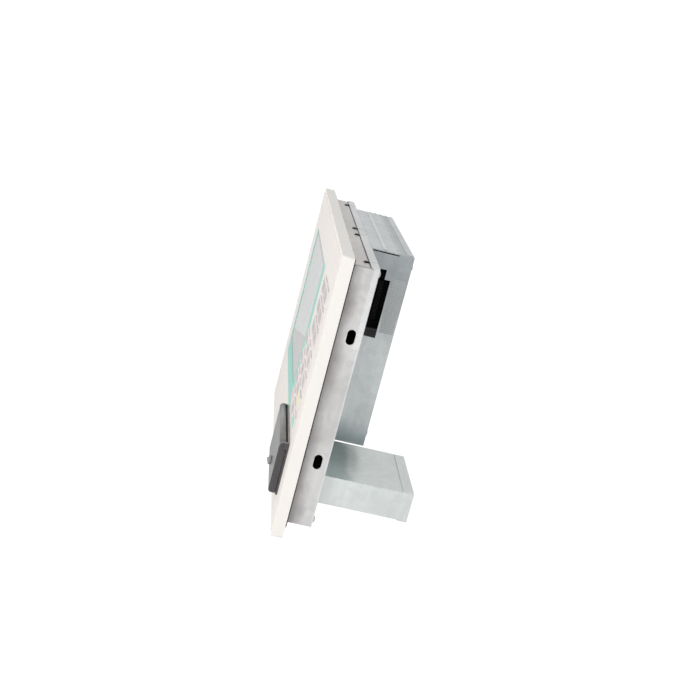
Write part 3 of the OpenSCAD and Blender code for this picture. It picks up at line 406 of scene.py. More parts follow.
def screenGlass(name):   # pale picture area and its printed border behind a smooth pane
    material, tree, shader = newShader(name, coat=0.55, coatRough=0.03, specular=0.4)
    low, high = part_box("display_glass")
    soft = screen["soft"] * mm
    place = addNode(tree, "ShaderNodeSeparateXYZ", {0: objectPlace(tree)})
    inside = None
    for axis, index in (("X", 0), ("Z", 2)):
        middle = (low[index] + high[index]) / 2
        reach = (high[index] - low[index]) / 2 - screen["border"] * mm
        off = sums(tree, "ABSOLUTE", sums(tree, "SUBTRACT", place.outputs[axis], middle))
        part = spread(tree, off, reach + soft, reach - soft)
        inside = part if inside is None else sums(tree, "MULTIPLY", inside, part)
    broad = noise(tree, objectPlace(tree), 5.0, 2.0)
    picture = mixColour(tree, spread(tree, broad, 0.35, 0.65),
                        shade(screen["picture"], 0.97), shade(screen["picture"], 1.03))
    # painted shade: below a slanting line the picture turns to the darker tone
    height = high.z - low.z
    slant = height * (screen["lowerRight"] - screen["lowerLeft"]) / (high.x - low.x)
    level = low.z + height * screen["lowerLeft"] - slant * low.x
    fall = sums(tree, "MULTIPLY", place.outputs["X"], slant)
    above = spread(tree, sums(tree, "SUBTRACT", place.outputs["Z"], fall),
                   level - 2 * soft, level + 2 * soft)
    picture = mixColour(tree, above, shade(screen["lower"], 1.0), picture)
    dots = addNode(tree, "ShaderNodeTexChecker",
                   {"Vector": objectPlace(tree), "Scale": screen["dots"],
                    "Color1": (0.96, 0.96, 0.96, 1),
                    "Color2": (1, 1, 1, 1)}).outputs["Color"]
    picture = mixColour(tree, 1.0, picture, dots, "MULTIPLY")
    base = mixColour(tree, inside, shade(screen["print"], 1.0), picture)
    tree.links.new(base, shader.inputs["Base Color"])
    smear = noise(tree, objectPlace(tree), 30.0, 5.0, 0.6)
    tree.links.new(spread(tree, smear, 0.3, 0.8, 0.16, 0.3), shader.inputs["Roughness"])
    return material


def labelFilm(name, colour, ink):   # metallised label, its fields without any words
    material, tree, shader = newShader(name, 0.3)
    lines = placeGroup(tree, "fields", Rows=380.0, Words=700.0).outputs["Mask"]
    base = mixColour(tree, sums(tree, "MULTIPLY", lines, 0.55), shade(colour, 1.0),
                     shade(ink, 1.0))
    tree.links.new(base, shader.inputs["Base Color"])
    tree.links.new(spread(tree, noise(tree, objectPlace(tree), 200.0), 0.3, 0.7, 0.36, 0.48),
                   shader.inputs["Roughness"])
    return material


mouldings = {
    "bezelPaint": {"colour": (0.88, 0.845, 0.8), "rough": 0.42, "variation": 0.015,
                   "grain": 1400.0, "bump": 0.08, "wearAndSheen": 0.1, "wornAndLit": 1.08, "dust": 0.04},
    "frontFoil": {"colour": (0.8, 0.75, 0.71), "rough": 0.55, "variation": 0.02,
                  "grain": 2200.0, "bump": 0.15, "wearAndSheen": 0.08, "dust": 0.02},
    "keyCap": {"colour": (0.72, 0.67, 0.65), "rough": 0.62, "variation": 0.02,
               "grain": 2200.0, "wearAndSheen": 0.05},
    "trimTurquoise": {"colour": (0.3, 0.62, 0.54), "rough": 0.42, "variation": 0.03,
                      "grain": 2000.0},
    "keyGrey": {"colour": (0.52, 0.48, 0.475), "rough": 0.48, "grain": 1600.0, "wearAndSheen": 0.2},
    "keyPink": {"colour": (0.8, 0.56, 0.56), "rough": 0.48, "grain": 1600.0},
    "keyYellow": {"colour": (0.76, 0.75, 0.42), "rough": 0.48, "grain": 1600.0},
    "keyGreen": {"colour": (0.32, 0.68, 0.52), "rough": 0.48, "grain": 1600.0},
    "lampLens": {"colour": (0.78, 0.66, 0.66), "rough": 0.2, "bump": 0.02, "coat": 0.6},
    "darkPlastic": {"colour": (0.048, 0.044, 0.046), "rough": 0.32, "variation": 0.1,
                    "grain": 1100.0, "bump": 0.12, "wearAndSheen": 0.3, "wornAndLit": 1.8, "dust": 0.35,
                    "coat": 0.7, "coatRough": 0.28},
    "greyPlastic": {"colour": (0.38, 0.38, 0.37), "rough": 0.4, "grain": 1200.0},
    "blackPlastic": {"colour": (0.008, 0.008, 0.009), "rough": 0.45, "variation": 0.15,
                     "grain": 1000.0, "wornAndLit": 3.0, "dust": 0.03},
    "innerBlack": {"colour": (0.003, 0.0035, 0.004), "rough": 0.6, "variation": 0.2,
                   "grain": 700.0, "specular": 0.12, "wearAndSheen": 0.05, "dust": 0.0},
    "gasketRubber": {"colour": (0.022, 0.02, 0.02), "rough": 0.75, "variation": 0.2,
                     "grain": 500.0, "bump": 0.3, "wornAndLit": 2.0, "dust": 0.04},
    "moduleGrey": {"colour": (0.2, 0.21, 0.22), "rough": 0.5},
}
sheets = {   # painted light and shade: facing, axis, from and to in millimetres, raggedness, tone
    "frameZinc": {"colour": (0.72, 0.71, 0.7), "rough": 0.4, "contrast": 0.14,
                  # painted shade towards the bezel, on the side and, pinker, on the top
                  "paintedShading": [("side", "Y", 3, 15, 4, (0.6, 0.575, 0.58)),
                             ("up", "Y", 0, 30, 4, (0.95, 0.89, 0.87))]},
    "coverZinc": {"colour": (0.8, 0.8, 0.8), "rough": 0.42,
                  # painted shadow: a near-black line along the cover's front edge, where it
                  # laps the frame
                  "paintedShading": [("side", "Y", 20.2, 20.8, 0, (0.07, 0.07, 0.075)),
                             ("up", "Y", 19.8, 20.4, 0, (0.2, 0.2, 0.21))]},
    "housingZinc": {"colour": (0.68, 0.71, 0.715), "rough": 0.38, "contrast": 0.15,
                    # painted shade towards the top and the bottom of the near side, and
                    # painted light and shade in bands across the top over its ribs
                    "paintedShading": [("side", "Z", -76, -50, 3, (0.55, 0.6, 0.61)),
                               ("side", "Z", 120, 40, 8, (0.68, 0.69, 0.7)),
                               ("up", "Y", 42.6, 41.8, 0, (1.16, 1.16, 1.16)),
                               ("up", "Y", 46.8, 46.0, 0, (0.86, 0.86, 0.86)),
                               ("up", "Y", 62.6, 61.6, 0.2, (0.76, 0.75, 0.75)),
                               ("up", "Y", 70.2, 69.0, 0.2, (1.3, 1.3, 1.3))]},
    "bayZinc": {"colour": (0.79, 0.825, 0.805), "rough": 0.42, "contrast": 0.1,
                # painted shadow of the housing on the front part of the bay's top
                "paintedShading": [("up", "Y", 55, 62, 5, (0.68, 0.75, 0.75))]},
}
metals = {
    "steel": {"colour": (0.66, 0.66, 0.65), "rough": 0.28},
    "darkSteel": {"colour": (0.12, 0.12, 0.125), "rough": 0.4},
    "aluminium": {"colour": (0.8, 0.81, 0.82), "stretch": (40.0, 900.0, 40.0)},
    "brass": {"colour": (0.8, 0.6, 0.26)},
    "goldPlate": {"colour": (0.85, 0.66, 0.3), "rough": 0.22},
    # painted shade: a darkened copy of the gold plate, for pins deep in the side tray
    "dullPins": {"colour": (0.1, 0.08, 0.045), "rough": 0.35},
}
finish = {"screen": screenGlass("screen"), "board": circuitBoard("board"),
          "label": labelFilm("label", (0.5, 0.525, 0.53), (0.3, 0.31, 0.32))}
for make, table in ((moulded, mouldings), (zincSheet, sheets), (drawn, metals)):
    for name, values in table.items():
        finish[name] = make(name, **values)
print("stage:", len(finish), "finishes")


# Carried-over CAD pieces: material, merged triangles and rounded edges
nodeFinish = {
    "bezel": "bezelPaint", "front_foil": "frontFoil", "screen_trim": "trimTurquoise",
    "display_glass": "screen", "lcd_module": "moduleGrey", "lcd_bracket": "frameZinc",
    "backlight_inverter": "board", "bezel_gasket": "gasketRubber", "key_board": "board",
    "status_lamps": "lampLens", "door_frame": "darkPlastic", "drive_door": "darkPlastic",
    "door_pin": "darkSteel", "door_knob": "greyPlastic", "drive_body": "steel",
    "drive_button": "greyPlastic", "drive_flap": "blackPlastic", "front_socket": "steel",
    "socket_caps": "gasketRubber", "mounting_frame": "frameZinc", "rear_cover": "coverZinc",
    "cover_screws": "steel", "frame_screws": "steel", "computer_housing": "housingZinc",
    "housing_screws": "steel", "main_board": "board", "heat_sink": "aluminium",
    "fan_frame": "blackPlastic", "fan_rotor": "blackPlastic", "power_supply": "coverZinc",
    "hard_disk": "aluminium", "side_tray": "innerBlack", "side_latch": "blackPlastic",
    "rating_label": "label", "power_inlet": "blackPlastic", "power_rocker": "blackPlastic",
    "port_panel": "steel", "drive_bay": "bayZinc", "bay_lid": "bayZinc",
    "earth_stud": "brass",
}
edgeRadius = {"bezel": 0.9, "front_foil": 0.15, "screen_trim": 0.15, "display_glass": 0.25,
              "drive_door": 0.7, "door_frame": 0.5, "door_knob": 0.35, "drive_button": 0.5,
              "rating_label": 0.05, "heat_sink": 0.15, "mounting_frame": 0.25,
              "rear_cover": 0.2, "computer_housing": 0.3, "drive_bay": 0.25, "bay_lid": 0.2}
keyNodes = sorted(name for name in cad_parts
                  if name.startswith("key_") and name != "key_board")
keyFinish = {"key_cancel": "keyPink", "key_enter": "keyGreen", "key_clear": "keyYellow"}
for name in keyNodes:
    nodeFinish[name] = "keyCap"
    edgeRadius[name] = 0.55


dressing = {"weld": 0.01, "flatAngle": 1, "roundAngle": 40, "plainRadius": 0.3}


def dressNode(name):
    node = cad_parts[name]
    node.data.materials.clear()
    node.data.materials.append(finish[nodeFinish[name]])
    weld = node.modifiers.new("weld", "WELD")
    weld.merge_threshold = dressing["weld"] * mm
    flatten = node.modifiers.new("flatten", "DECIMATE")   # flat faces without slivers
    flatten.decimate_type = "DISSOLVE"
    flatten.angle_limit = math.radians(dressing["flatAngle"])
    bevel = node.modifiers.new("round", "BEVEL")
    bevel.width = edgeRadius.get(name, dressing["plainRadius"]) * mm
    bevel.segments = 2
    bevel.limit_method = "ANGLE"
    bevel.angle_limit = math.radians(dressing["roundAngle"])
    bevel.use_clamp_overlap = True


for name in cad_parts:
    dressNode(name)
print("stage:", len(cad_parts), "carried-over pieces")


# Geometry Nodes shapes, each set down once at every place it is given
def newShape(name, inputs):
    tree = bpy.data.node_groups.new(name, "GeometryNodeTree")
    tree.interface.new_socket("Places", in_out="INPUT", socket_type="NodeSocketGeometry")
    for label, value in inputs.items():
        kind = {bool: "NodeSocketBool", int: "NodeSocketInt", float: "NodeSocketFloat"}
        socket = tree.interface.new_socket(label, in_out="INPUT",
                                           socket_type=kind[type(value)])
        socket.default_value = value
    tree.interface.new_socket("Finish", in_out="INPUT", socket_type="NodeSocketMaterial")
    tree.interface.new_socket("Shape", in_out="OUTPUT", socket_type="NodeSocketGeometry")
    return tree, addNode(tree, "NodeGroupInput").outputs


def setDown(tree, given, shape, wobble=0.0, seed=7):   # the shape's Z lies along the facing
    facing = addNode(tree, "GeometryNodeInputNamedAttribute", {"Name": "facing"},
                     data_type="FLOAT_VECTOR").outputs[0]
    aim = addNode(tree, "FunctionNodeAlignRotationToVector", {"Vector": facing}, axis="Z")
    angle = addNode(tree, "FunctionNodeRandomValue", {2: -wobble, 3: wobble, "Seed": seed},
                    data_type="FLOAT").outputs[1]
    spin = addNode(tree, "ShaderNodeCombineXYZ", {"Z": angle}).outputs[0]
    turn = addNode(tree, "FunctionNodeEulerToRotation", {0: spin}).outputs[0]
    both = addNode(tree, "FunctionNodeRotateRotation", {0: aim.outputs[0], 1: turn},
                   rotation_space="LOCAL").outputs[0]
    copies = addNode(tree, "GeometryNodeInstanceOnPoints",
                     {"Points": given["Places"], "Instance": shape, "Rotation": both})
    real = addNode(tree, "GeometryNodeRealizeInstances", {0: copies.outputs[0]})
    done = addNode(tree, "GeometryNodeSetMaterial", {"Geometry": real.outputs[0],
                                                     "Material": given["Finish"]})
    addNode(tree, "NodeGroupOutput", {0: done.outputs[0]})


def vector(tree, x=0.0, y=0.0, z=0.0):
    return addNode(tree, "ShaderNodeCombineXYZ", {0: x, 1: y, 2: z}).outputs[0]


def block(tree, x, y, z, lift):   # a box on the shape's Z axis, its middle lifted
    cube = addNode(tree, "GeometryNodeMeshCube", {"Size": vector(tree, x, y, z)}).outputs[0]
    return addNode(tree, "GeometryNodeTransform",
                   {"Geometry": cube, "Translation": vector(tree, 0.0, 0.0, lift)}).outputs[0]


def sweep(tree, path, profile, caps=False, size=1.0):
    return addNode(tree, "GeometryNodeCurveToMesh",
                   {"Curve": path, "Profile Curve": profile, "Scale": size,
                    "Fill Caps": caps}).outputs[0]


def ring(tree, radius, sides):
    return addNode(tree, "GeometryNodeCurvePrimitiveCircle",
                   {"Radius": radius, "Resolution": sides}).outputs[0]


def makeRoundHead():   # domed head, with a cross recess where it is a screw
    tree, given = newShape("roundHead", {"Radius": 0.004, "Height": 0.003, "Dome": 3.0,
                                         "Crossed": True})
    top = vector(tree, 0.0, 0.0, given["Height"])
    line = addNode(tree, "GeometryNodeCurvePrimitiveLine", {"End": top}).outputs[0]
    points = addNode(tree, "GeometryNodeResampleCurve",
                     {"Curve": line, "Count": 12}).outputs[0]
    along = addNode(tree, "GeometryNodeSplineParameter").outputs["Factor"]
    fall = sums(tree, "SUBTRACT", 1.0, sums(tree, "POWER", along, given["Dome"]))
    share = sums(tree, "MAXIMUM", sums(tree, "POWER", fall, 0.5), 0.12)
    size = sums(tree, "MULTIPLY", share, given["Radius"])
    head = sweep(tree, points, ring(tree, 1.0, 24), True, size)
    long = sums(tree, "MULTIPLY", given["Radius"], 1.15)
    wide = sums(tree, "MULTIPLY", given["Radius"], 0.24)
    deep = sums(tree, "MULTIPLY", given["Height"], 1.2)
    cross = addNode(tree, "GeometryNodeMeshBoolean", {"Mesh 1": head}, operation="DIFFERENCE")
    tree.links.new(block(tree, long, wide, deep, given["Height"]), cross.inputs["Mesh 2"])
    tree.links.new(block(tree, wide, long, deep, given["Height"]), cross.inputs["Mesh 2"])
    pick = addNode(tree, "GeometryNodeSwitch", {"Switch": given["Crossed"], "False": head,
                                                "True": cross.outputs[0]},
                   input_type="GEOMETRY").outputs[0]
    setDown(tree, given, pick, 0.7)
    return tree


def makeKnurl():   # short ridges round a turned grip
    tree, given = newShape("knurl", {"Count": 28, "Ring": 0.005, "Length": 0.0024,
                                     "Width": 0.0006})
    circle = addNode(tree, "GeometryNodeMeshCircle", {"Vertices": given["Count"],
                                                      "Radius": given["Ring"]}).outputs[0]
    out = addNode(tree, "GeometryNodeInputPosition").outputs[0]
    aim = addNode(tree, "FunctionNodeAlignRotationToVector", {"Vector": out}, axis="X")
    half = sums(tree, "MULTIPLY", given["Length"], 0.5)
    ridge = block(tree, given["Width"], given["Width"], given["Length"], half)
    copies = addNode(tree, "GeometryNodeInstanceOnPoints",
                     {"Points": circle, "Instance": ridge, "Rotation": aim.outputs[0]})
    setDown(tree, given, copies.outputs[0])
    return tree


def makePinGrid():   # contact pins in rows
    tree, given = newShape("pinGrid", {"Across": 18, "Along": 2, "Pitch": 0.00254,
                                       "Pin": 0.00064, "Length": 0.0025})
    sides = []
    for label in ("Across", "Along"):
        sides.append(sums(tree, "MULTIPLY", sums(tree, "SUBTRACT", given[label], 1.0),
                          given["Pitch"]))
    grid = addNode(tree, "GeometryNodeMeshGrid",
                   {"Size X": sides[0], "Size Y": sides[1], "Vertices X": given["Across"],
                    "Vertices Y": given["Along"]}).outputs[0]
    half = sums(tree, "MULTIPLY", given["Length"], 0.5)
    pin = block(tree, given["Pin"], given["Pin"], given["Length"], half)
    copies = addNode(tree, "GeometryNodeInstanceOnPoints", {"Points": grid, "Instance": pin})
    setDown(tree, given, copies.outputs[0])
    return tree


def makeBead():   # a rounded strip along a rectangle with rounded corners
    tree, given = newShape("bead", {"Width": 0.1, "Height": 0.1, "Corner": 0.004,
                                    "Thick": 0.004, "Deep": 0.0036})
    path = addNode(tree, "GeometryNodeCurvePrimitiveQuadrilateral",
                   {"Width": given["Width"], "Height": given["Height"]}).outputs[0]
    path = addNode(tree, "GeometryNodeFilletCurve",
                   {"Curve": path, "Count": 6, "Radius": given["Corner"],
                    "Limit Radius": True}, mode="POLY").outputs[0]
    profile = addNode(tree, "GeometryNodeTransform",
                      {"Geometry": ring(tree, 0.5, 14),
                       "Scale": vector(tree, given["Thick"], given["Deep"], 1.0)}).outputs[0]
    setDown(tree, given, sweep(tree, path, profile))
    return tree


def makePad():   # thin printed pad with rounded corners
    tree, given = newShape("pad", {"Width": 0.02, "Height": 0.01, "Corner": 0.002,
                                   "Thick": 0.0002})
    path = addNode(tree, "GeometryNodeCurvePrimitiveQuadrilateral",
                   {"Width": given["Width"], "Height": given["Height"]}).outputs[0]
    path = addNode(tree, "GeometryNodeFilletCurve",
                   {"Curve": path, "Count": 5, "Radius": given["Corner"],
                    "Limit Radius": True}, mode="POLY").outputs[0]
    face = addNode(tree, "GeometryNodeFillCurve", {"Curve": path}, mode="NGONS").outputs[0]
    raised = addNode(tree, "GeometryNodeExtrudeMesh",
                     {"Mesh": face, "Offset": vector(tree, 0.0, 0.0, 1.0),
                      "Offset Scale": given["Thick"], "Individual": False}).outputs[0]
    under = addNode(tree, "GeometryNodeFlipFaces", {"Mesh": face}).outputs[0]
    both = addNode(tree, "GeometryNodeJoinGeometry")
    tree.links.new(raised, both.inputs[0])
    tree.links.new(under, both.inputs[0])
    solid = addNode(tree, "GeometryNodeMergeByDistance", {"Geometry": both.outputs[0],
                                                          "Distance": 0.00001}).outputs[0]
    setDown(tree, given, solid)
    return tree


def makeGuard():   # round wire guard with two crossing wires
    tree, given = newShape("guard", {"Rings": 4, "Pitch": 0.0066, "Wire": 0.0011})
    line = addNode(tree, "GeometryNodeMeshLine", {"Count": given["Rings"],
                                                  "Offset": vector(tree)}).outputs[0]
    number = addNode(tree, "GeometryNodeInputIndex").outputs[0]
    size = sums(tree, "MULTIPLY", sums(tree, "ADD", number, 1.0), given["Pitch"])
    rings = addNode(tree, "GeometryNodeInstanceOnPoints",
                    {"Points": line, "Instance": ring(tree, 1.0, 40),
                     "Scale": vector(tree, size, size, 1.0)}).outputs[0]
    rings = addNode(tree, "GeometryNodeRealizeInstances", {0: rings}).outputs[0]
    reach = sums(tree, "MULTIPLY", given["Rings"], given["Pitch"])
    back = sums(tree, "MULTIPLY", reach, -1.0)
    wires = addNode(tree, "GeometryNodeJoinGeometry")
    tree.links.new(rings, wires.inputs[0])
    for a, b in ((vector(tree, back), vector(tree, reach)),
                 (vector(tree, 0.0, back), vector(tree, 0.0, reach))):
        spoke = addNode(tree, "GeometryNodeCurvePrimitiveLine", {"Start": a, "End": b})
        tree.links.new(spoke.outputs[0], wires.inputs[0])
    half = sums(tree, "MULTIPLY", given["Wire"], 0.5)
    setDown(tree, given, sweep(tree, wires.outputs[0], ring(tree, half, 8), True))
    return tree


def makeThread():   # screw thread wound round a stud
    tree, given = newShape("thread", {"Turns": 13.0, "Radius": 0.002, "Length": 0.0095,
                                      "Ridge": 0.00028})
    path = addNode(tree, "GeometryNodeCurveSpiral",
                   {"Resolution": 20, "Rotations": given["Turns"], "Height": given["Length"],
                    "Start Radius": given["Radius"], "End Radius": given["Radius"]}).outputs[0]
    setDown(tree, given, sweep(tree, path, ring(tree, given["Ridge"], 6), True))
    return tree


shapes = {"roundHead": makeRoundHead(), "knurl": makeKnurl(), "pinGrid": makePinGrid(),
          "bead": makeBead(), "pad": makePad(), "guard": makeGuard(),
          "thread": makeThread()}
print("stage:", len(shapes), "repeated shapes")


def bakeShape(name, shape, places, body, slot, material, stands=(), **values):
    mesh = bpy.data.meshes.new(name)
    mesh.from_pydata([place for place, facing in places], [], [])
    facings = mesh.attributes.new("facing", "FLOAT_VECTOR", "POINT")
    for item, (place, facing) in zip(facings.data, places):
        item.vector = facing
    piece = bpy.data.objects.new(name, mesh)
    bpy.context.scene.collection.objects.link(piece)
    modifier = piece.modifiers.new("shape", "NODES")
    modifier.node_group = shapes[shape]
    for item in shapes[shape].interface.items_tree:
        if item.item_type == "SOCKET" and item.name in values:
            modifier[item.identifier] = values[item.name]
        if item.item_type == "SOCKET" and item.name == "Finish":
            modifier[item.identifier] = finish[material]
    seen = piece.evaluated_get(bpy.context.evaluated_depsgraph_get())
    done = bpy.data.meshes.new_from_object(seen)
    piece.modifiers.clear()
    piece.data = done
    done.shade_smooth()
    done.set_sharp_from_angle(angle=math.radians(35))
    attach(piece, body)
    if stands:
        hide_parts(*stands)
    return piece


def islands(name):   # the separate solids of a CAD node, as boxes
    shape = bmesh.new()
    shape.from_mesh(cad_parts[name].data)
    bmesh.ops.remove_doubles(shape, verts=shape.verts, dist=0.00001)
    left = set(shape.verts)
    found = []
    for first in list(shape.verts):
        if first not in left:
            continue
        left.discard(first)
        group, edge = [], [first]
        while edge:
            vert = edge.pop()
            group.append(vert.co.copy())
            near = [link.other_vert(vert) for link in vert.link_edges]
            near = [other for other in near if other in left]
            left.difference_update(near)
            edge.extend(near)
        found.append((Vector(map(min, zip(*group))), Vector(map(max, zip(*group)))))
    shape.free()
    return sorted(found, key=lambda box: tuple(box[0]))


# Screws, studs and lamps
screwHeads = {
    "cadHeight": 3.0,        # of a large head with its washer in the CAD model
    "washer": 0.5, "washerRadius": 4.6,
    "coverRadius": 3.8, "coverHeight": 2.5,
    "studRadius": 2.8, "studHeight": 1.2, "studSeat": 1.6,
    "bottomRadius": 3.1, "bottomHeight": 1.9, "bottomSeat": 2.0,
    "lampRadius": 1.9, "lampHeight": 0.7,
}


def makeScrews():
    back, up, down = Vector((0, 1, 0)), Vector((0, 0, 1)), Vector((0, 0, -1))
    head = screwHeads["cadHeight"] * mm
    cover, rear, studs, bottom = [], [], [], []
    for low, high in islands("cover_screws"):
        middle = (low + high) / 2
        cover.append((Vector((middle.x, high.y - head, middle.z)), back))
    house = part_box("computer_housing")[1]
    for low, high in islands("housing_screws"):
        middle = (low + high) / 2
        if high.y > house.y:
            rear.append((Vector((middle.x, high.y - head, middle.z)), back))
        elif high.z > house.z:
            seat = high.z - screwHeads["studSeat"] * mm
            studs.append((Vector((middle.x, middle.y, seat)), up))
        else:
            seat = low.z + screwHeads["bottomSeat"] * mm
            bottom.append((Vector((middle.x, middle.y, seat)), down))
    thick = screwHeads["washer"] * mm
    bakeShape("screw_washers", "roundHead", cover + rear, "console", "bright_steel", "steel",
              Radius=screwHeads["washerRadius"] * mm, Height=thick, Dome=12.0, Crossed=False)
    for name, seats in (("cover_screw", cover), ("housing_screw", rear)):
        heads = [(place + facing * thick, facing) for place, facing in seats]
        bakeShape(name + "_heads", "roundHead", heads, "console", "bright_steel", "steel",
                  [name + "s"], Radius=screwHeads["coverRadius"] * mm,
                  Height=screwHeads["coverHeight"] * mm, Dome=3.0, Crossed=True)
    bakeShape("top_studs", "roundHead", studs, "console", "bright_steel", "steel",
              Radius=screwHeads["studRadius"] * mm, Height=screwHeads["studHeight"] * mm,
              Dome=2.2, Crossed=False)
    bakeShape("bottom_screw_head", "roundHead", bottom, "console", "bright_steel", "darkSteel",
              Radius=screwHeads["bottomRadius"] * mm, Height=screwHeads["bottomHeight"] * mm,
              Dome=3.0, Crossed=True)


def makeLampDomes():
    places = []
    for low, high in islands("status_lamps"):
        middle = (low + high) / 2
        places.append((Vector((middle.x, low.y, middle.z)), Vector((0, -1, 0))))
    bakeShape("lamp_domes", "roundHead", places, "console", "lamp_lens", "lampLens",
              Radius=screwHeads["lampRadius"] * mm, Height=screwHeads["lampHeight"] * mm,
              Dome=2.0, Crossed=False)


makeScrews()
makeLampDomes()
print("stage: screws, studs and lamps")


# Gasket between bezel and panel
gasket = {"width": 4.0, "corner": 5.0}


def makeGasket():
    low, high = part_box("bezel_gasket")
    wide = gasket["width"] * mm
    middle = (low + high) / 2
    bakeShape("gasket_bead", "bead", [(middle, Vector((0, 1, 0)))], "console",
              "gasket_rubber", "gasketRubber", ["bezel_gasket"], Width=high.x - low.x - wide,
              Height=high.z - low.z - wide, Corner=gasket["corner"] * mm, Thick=wide,
              Deep=high.y - low.y)


# Printed colour pads on the keys
keyPad = {
    "sideMargin": 2.2, "endMargin": 3.2, "corner": 1.4, "thick": 0.12,
    "flange": 0.8,       # the key's hidden flange is that much wider than its cap
    "sunk": 0.02,
}


def makeKeyPads():
    for name in keyNodes:
        low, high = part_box(name)
        middle = (low + high) / 2
        flange = keyPad["flange"] * mm
        width = high.x - low.x - 2 * (flange + keyPad["sideMargin"] * mm)
        height = high.z - low.z - 2 * (flange + keyPad["endMargin"] * mm)
        seat = Vector((middle.x, low.y + keyPad["sunk"] * mm, middle.z))
        colour = keyFinish.get(name, "keyGrey")
        bakeShape(name + "_pad", "pad", [(seat, Vector((0, -1, 0)))], name,
                  colour.replace("key", "key_").lower(), colour,
                  Width=width, Height=height, Corner=keyPad["corner"] * mm,
                  Thick=keyPad["thick"] * mm)


# Spot welds along the sheet-metal seams
welds = {
    "radius": 1.6, "height": 0.14, "inset": 5.0, "pitch": 34.0, "bayInset": 8.0,
    "frame": (-190, -140, -70, 0, 70, 140, 190),   # millimetres across
}


def makeWelds():
    inset, pitch, bayInset = (welds[label] * mm for label in ("inset", "pitch", "bayInset"))
    right, top = Vector((1, 0, 0)), Vector((0, 0, 1))
    places = []
    low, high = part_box("drive_bay")
    count = int((high.y - low.y - 2 * inset) / pitch)
    for step in range(count + 1):
        y = low.y + 2 * inset + step * pitch
        places.append((Vector((high.x - bayInset, y, low.z + inset)), right))
        places.append((Vector((low.x + bayInset, y, low.z + inset)), -right))
    low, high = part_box("computer_housing")
    count = int((high.z - low.z - 2 * inset) / pitch)
    for step in range(count + 1):
        z = low.z + 2 * inset + step * pitch
        places.append((Vector((low.x, low.y + inset, z)), -right))
        places.append((Vector((high.x, low.y + inset, z)), right))
    low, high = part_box("mounting_frame")
    for side in (-1, 1):
        edge = high.z if side > 0 else low.z
        for x in welds["frame"]:
            places.append((Vector((x * mm, low.y + inset, edge)), top * side))
    bakeShape("spot_welds", "roundHead", places, "console", "zinc_sheet", "coverZinc",
              Radius=welds["radius"] * mm, Height=welds["height"] * mm, Dome=2.0,
              Crossed=False)


# Painted shade: black rubber pads in the slots of the cover's hooks, a black rubber strip
# along its front edge, and dark lines at the hooks' creases and the frame's bends
shadeStrips = {
    "hooks": (-187, -5, 37, 196),   # millimetres across, as the slots in the frame
    "slotMiddle": 16.4, "slotWide": 7.8, "slotLong": 5.8,
    "shadeHeight": 4.0, "shadeBelow": 0.3,
    "seam": 19.7, "stripWide": 0.6, "stripHigh": 0.3,
    "creaseMiddle": 24.6, "creaseLong": 6.0, "creaseWide": 0.7,
    "bendInset": 1.6, "bendWide": 0.45,
}


def makeShadeStrips():
    low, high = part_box("mounting_frame")
    up = Vector((0, 0, 1))
    bottom = high.z - (shadeStrips["shadeHeight"] + shadeStrips["shadeBelow"]) * mm
    places = [(Vector((x * mm, shadeStrips["slotMiddle"] * mm, bottom)), up) for x in shadeStrips["hooks"]]
    # painted shade: black pads fill the hook slots where the holes fall dark
    bakeShape("hook_slot_shade", "pad", places, "console", "gasket_rubber", "gasketRubber",
              Width=shadeStrips["slotWide"] * mm, Height=shadeStrips["slotLong"] * mm, Corner=0.8 * mm,
              Thick=shadeStrips["shadeHeight"] * mm)
    middle = Vector(((low.x + high.x) / 2, shadeStrips["seam"] * mm, high.z - 0.05 * mm))
    # painted shadow: a black strip along the seam at the cover's front edge
    bakeShape("seam_shade_strip", "pad", [(middle, up)], "console", "gasket_rubber", "gasketRubber",
              Width=high.x - low.x - 4 * mm, Height=shadeStrips["stripWide"] * mm,
              Corner=0.3 * mm, Thick=shadeStrips["stripHigh"] * mm)
    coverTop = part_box("rear_cover")[1].z - 0.02 * mm
    places = [(Vector((x * mm, shadeStrips["creaseMiddle"] * mm, coverTop)), up)
              for x in shadeStrips["hooks"]]
    # painted shade: dark lines at the creases of the cover's hooks
    bakeShape("hook_crease_shade", "pad", places, "console", "zinc_sheet", "darkSteel",
              Width=shadeStrips["creaseWide"] * mm, Height=shadeStrips["creaseLong"] * mm,
              Corner=0.3 * mm, Thick=0.08 * mm)
    inset, length = shadeStrips["bendInset"] * mm, (shadeStrips["seam"] - 2) * mm
    places = [(Vector((x, low.y + 1.5 * mm + length / 2, high.z - 0.02 * mm)), up)
              for x in (low.x + inset, high.x - inset)]
    # painted shade: dark lines along the frame's bends
    bakeShape("frame_bend_shade", "pad", places, "console", "zinc_sheet", "darkSteel",
              Width=shadeStrips["bendWide"] * mm, Height=length, Corner=0.2 * mm,
              Thick=0.06 * mm)


makeGasket()
makeShadeStrips()
makeKeyPads()
makeWelds()
print("stage: gasket, seals, key pads and spot welds")


# Connector pins and shells
tray = {
    "pins": 18, "pitch": 2.54, "pin": 0.4, "pinLength": 0.9, "wall": 1.6, "above": 42.0,
    "shellWidth": 7.4, "shellThick": 1.1, "shellDeep": 2.6, "shellLift": 1.0,
}
ports = {
    "first": 23.0, "apart": 37.0, "count": 3, "width": 27.0, "deep": 9.0, "corner": 3.0,
    "pins": 9, "pitch": 2.77, "pin": 1.0, "pinLength": 0.5,
    "shellThick": 0.8, "shellDeep": 1.6,
}


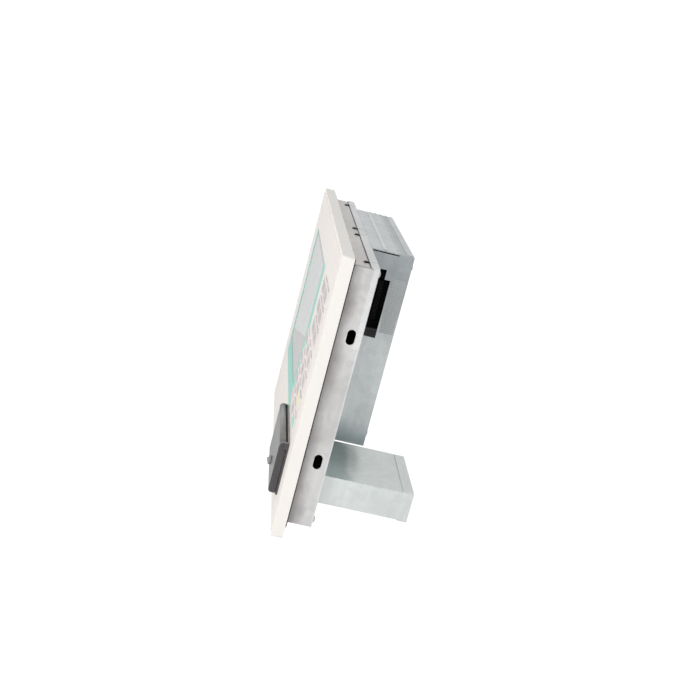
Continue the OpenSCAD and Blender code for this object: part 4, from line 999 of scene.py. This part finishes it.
def makeConnectors():
    low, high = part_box("side_tray")
    right = Vector((1, 0, 0))
    pitch = tray["pitch"] * mm
    seat = Vector((low.x + tray["wall"] * mm, (low.y + high.y) / 2,
                   low.z + tray["above"] * mm))
    # painted shade: the pins inside the tray take the darkened gold
    bakeShape("tray_pins", "pinGrid", [(seat, right)], "console", "brass_stud", "dullPins",
              Across=tray["pins"], Along=2, Pitch=pitch, Pin=tray["pin"] * mm,
              Length=tray["pinLength"] * mm)
    seat = seat + right * tray["shellLift"] * mm
    bakeShape("tray_header", "bead", [(seat, right)], "console", "black_plastic",
              "innerBlack", Width=(tray["pins"] + 1) * pitch,
              Height=tray["shellWidth"] * mm, Corner=1 * mm, Thick=tray["shellThick"] * mm,
              Deep=tray["shellDeep"] * mm)
    low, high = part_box("port_panel")
    down = Vector((0, 0, -1))
    seats = []
    for number in range(ports["count"]):
        x = low.x + (ports["first"] + number * ports["apart"]) * mm
        seats.append((Vector((x, (low.y + high.y) / 2, low.z)), down))
    bakeShape("port_pins", "pinGrid", seats, "console", "brass_stud", "goldPlate",
              Across=ports["pins"], Along=2, Pitch=ports["pitch"] * mm,
              Pin=ports["pin"] * mm, Length=ports["pinLength"] * mm)
    bakeShape("port_shells", "bead", seats, "console", "bright_steel", "steel",
              Width=ports["width"] * mm, Height=ports["deep"] * mm,
              Corner=ports["corner"] * mm, Thick=ports["shellThick"] * mm,
              Deep=ports["shellDeep"] * mm)


# Wire guard in front of the fan, seen through the rear vents
fanGuard = {"rings": 4, "pitch": 6.6, "wire": 1.1, "behind": 1.0}


def makeFanGuard():
    low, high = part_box("fan_frame")
    middle = (low + high) / 2
    seat = Vector((middle.x, high.y + fanGuard["behind"] * mm, middle.z))
    bakeShape("fan_guard", "guard", [(seat, Vector((0, 1, 0)))], "console", "bright_steel",
              "steel", Rings=fanGuard["rings"], Pitch=fanGuard["pitch"] * mm,
              Wire=fanGuard["wire"] * mm)


# Knurled grip of the door's knob, and the thread of the earth stud
knurl = {"ridges": 26, "length": 2.3, "width": 0.62, "clear": 0.4}
studThread = {"turns": 13.0, "radius": 1.9, "length": 9.4, "ridge": 0.25, "start": 9.8}


def makeKnurledGrip():
    low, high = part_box("door_knob")
    doorLow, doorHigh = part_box("drive_door")
    seat = Vector(((doorLow.x + doorHigh.x) / 2, doorLow.y - knurl["clear"] * mm,
                   (low.z + high.z) / 2))
    bakeShape("knob_knurl", "knurl", [(seat, Vector((0, -1, 0)))], "knob", "grey_plastic",
              "greyPlastic", Count=knurl["ridges"], Ring=(high.z - low.z) / 2,
              Length=knurl["length"] * mm, Width=knurl["width"] * mm)


def makeStudThread():
    low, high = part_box("earth_stud")
    middle = (low + high) / 2
    seat = Vector((middle.x, high.y - studThread["start"] * mm, middle.z))
    bakeShape("stud_thread", "thread", [(seat, Vector((0, 1, 0)))], "console", "brass_stud",
              "brass", Turns=studThread["turns"], Radius=studThread["radius"] * mm,
              Length=studThread["length"] * mm, Ridge=studThread["ridge"] * mm)


makeConnectors()
makeFanGuard()
makeKnurledGrip()
makeStudThread()
print("stage: connectors, fan guard, knob and stud")
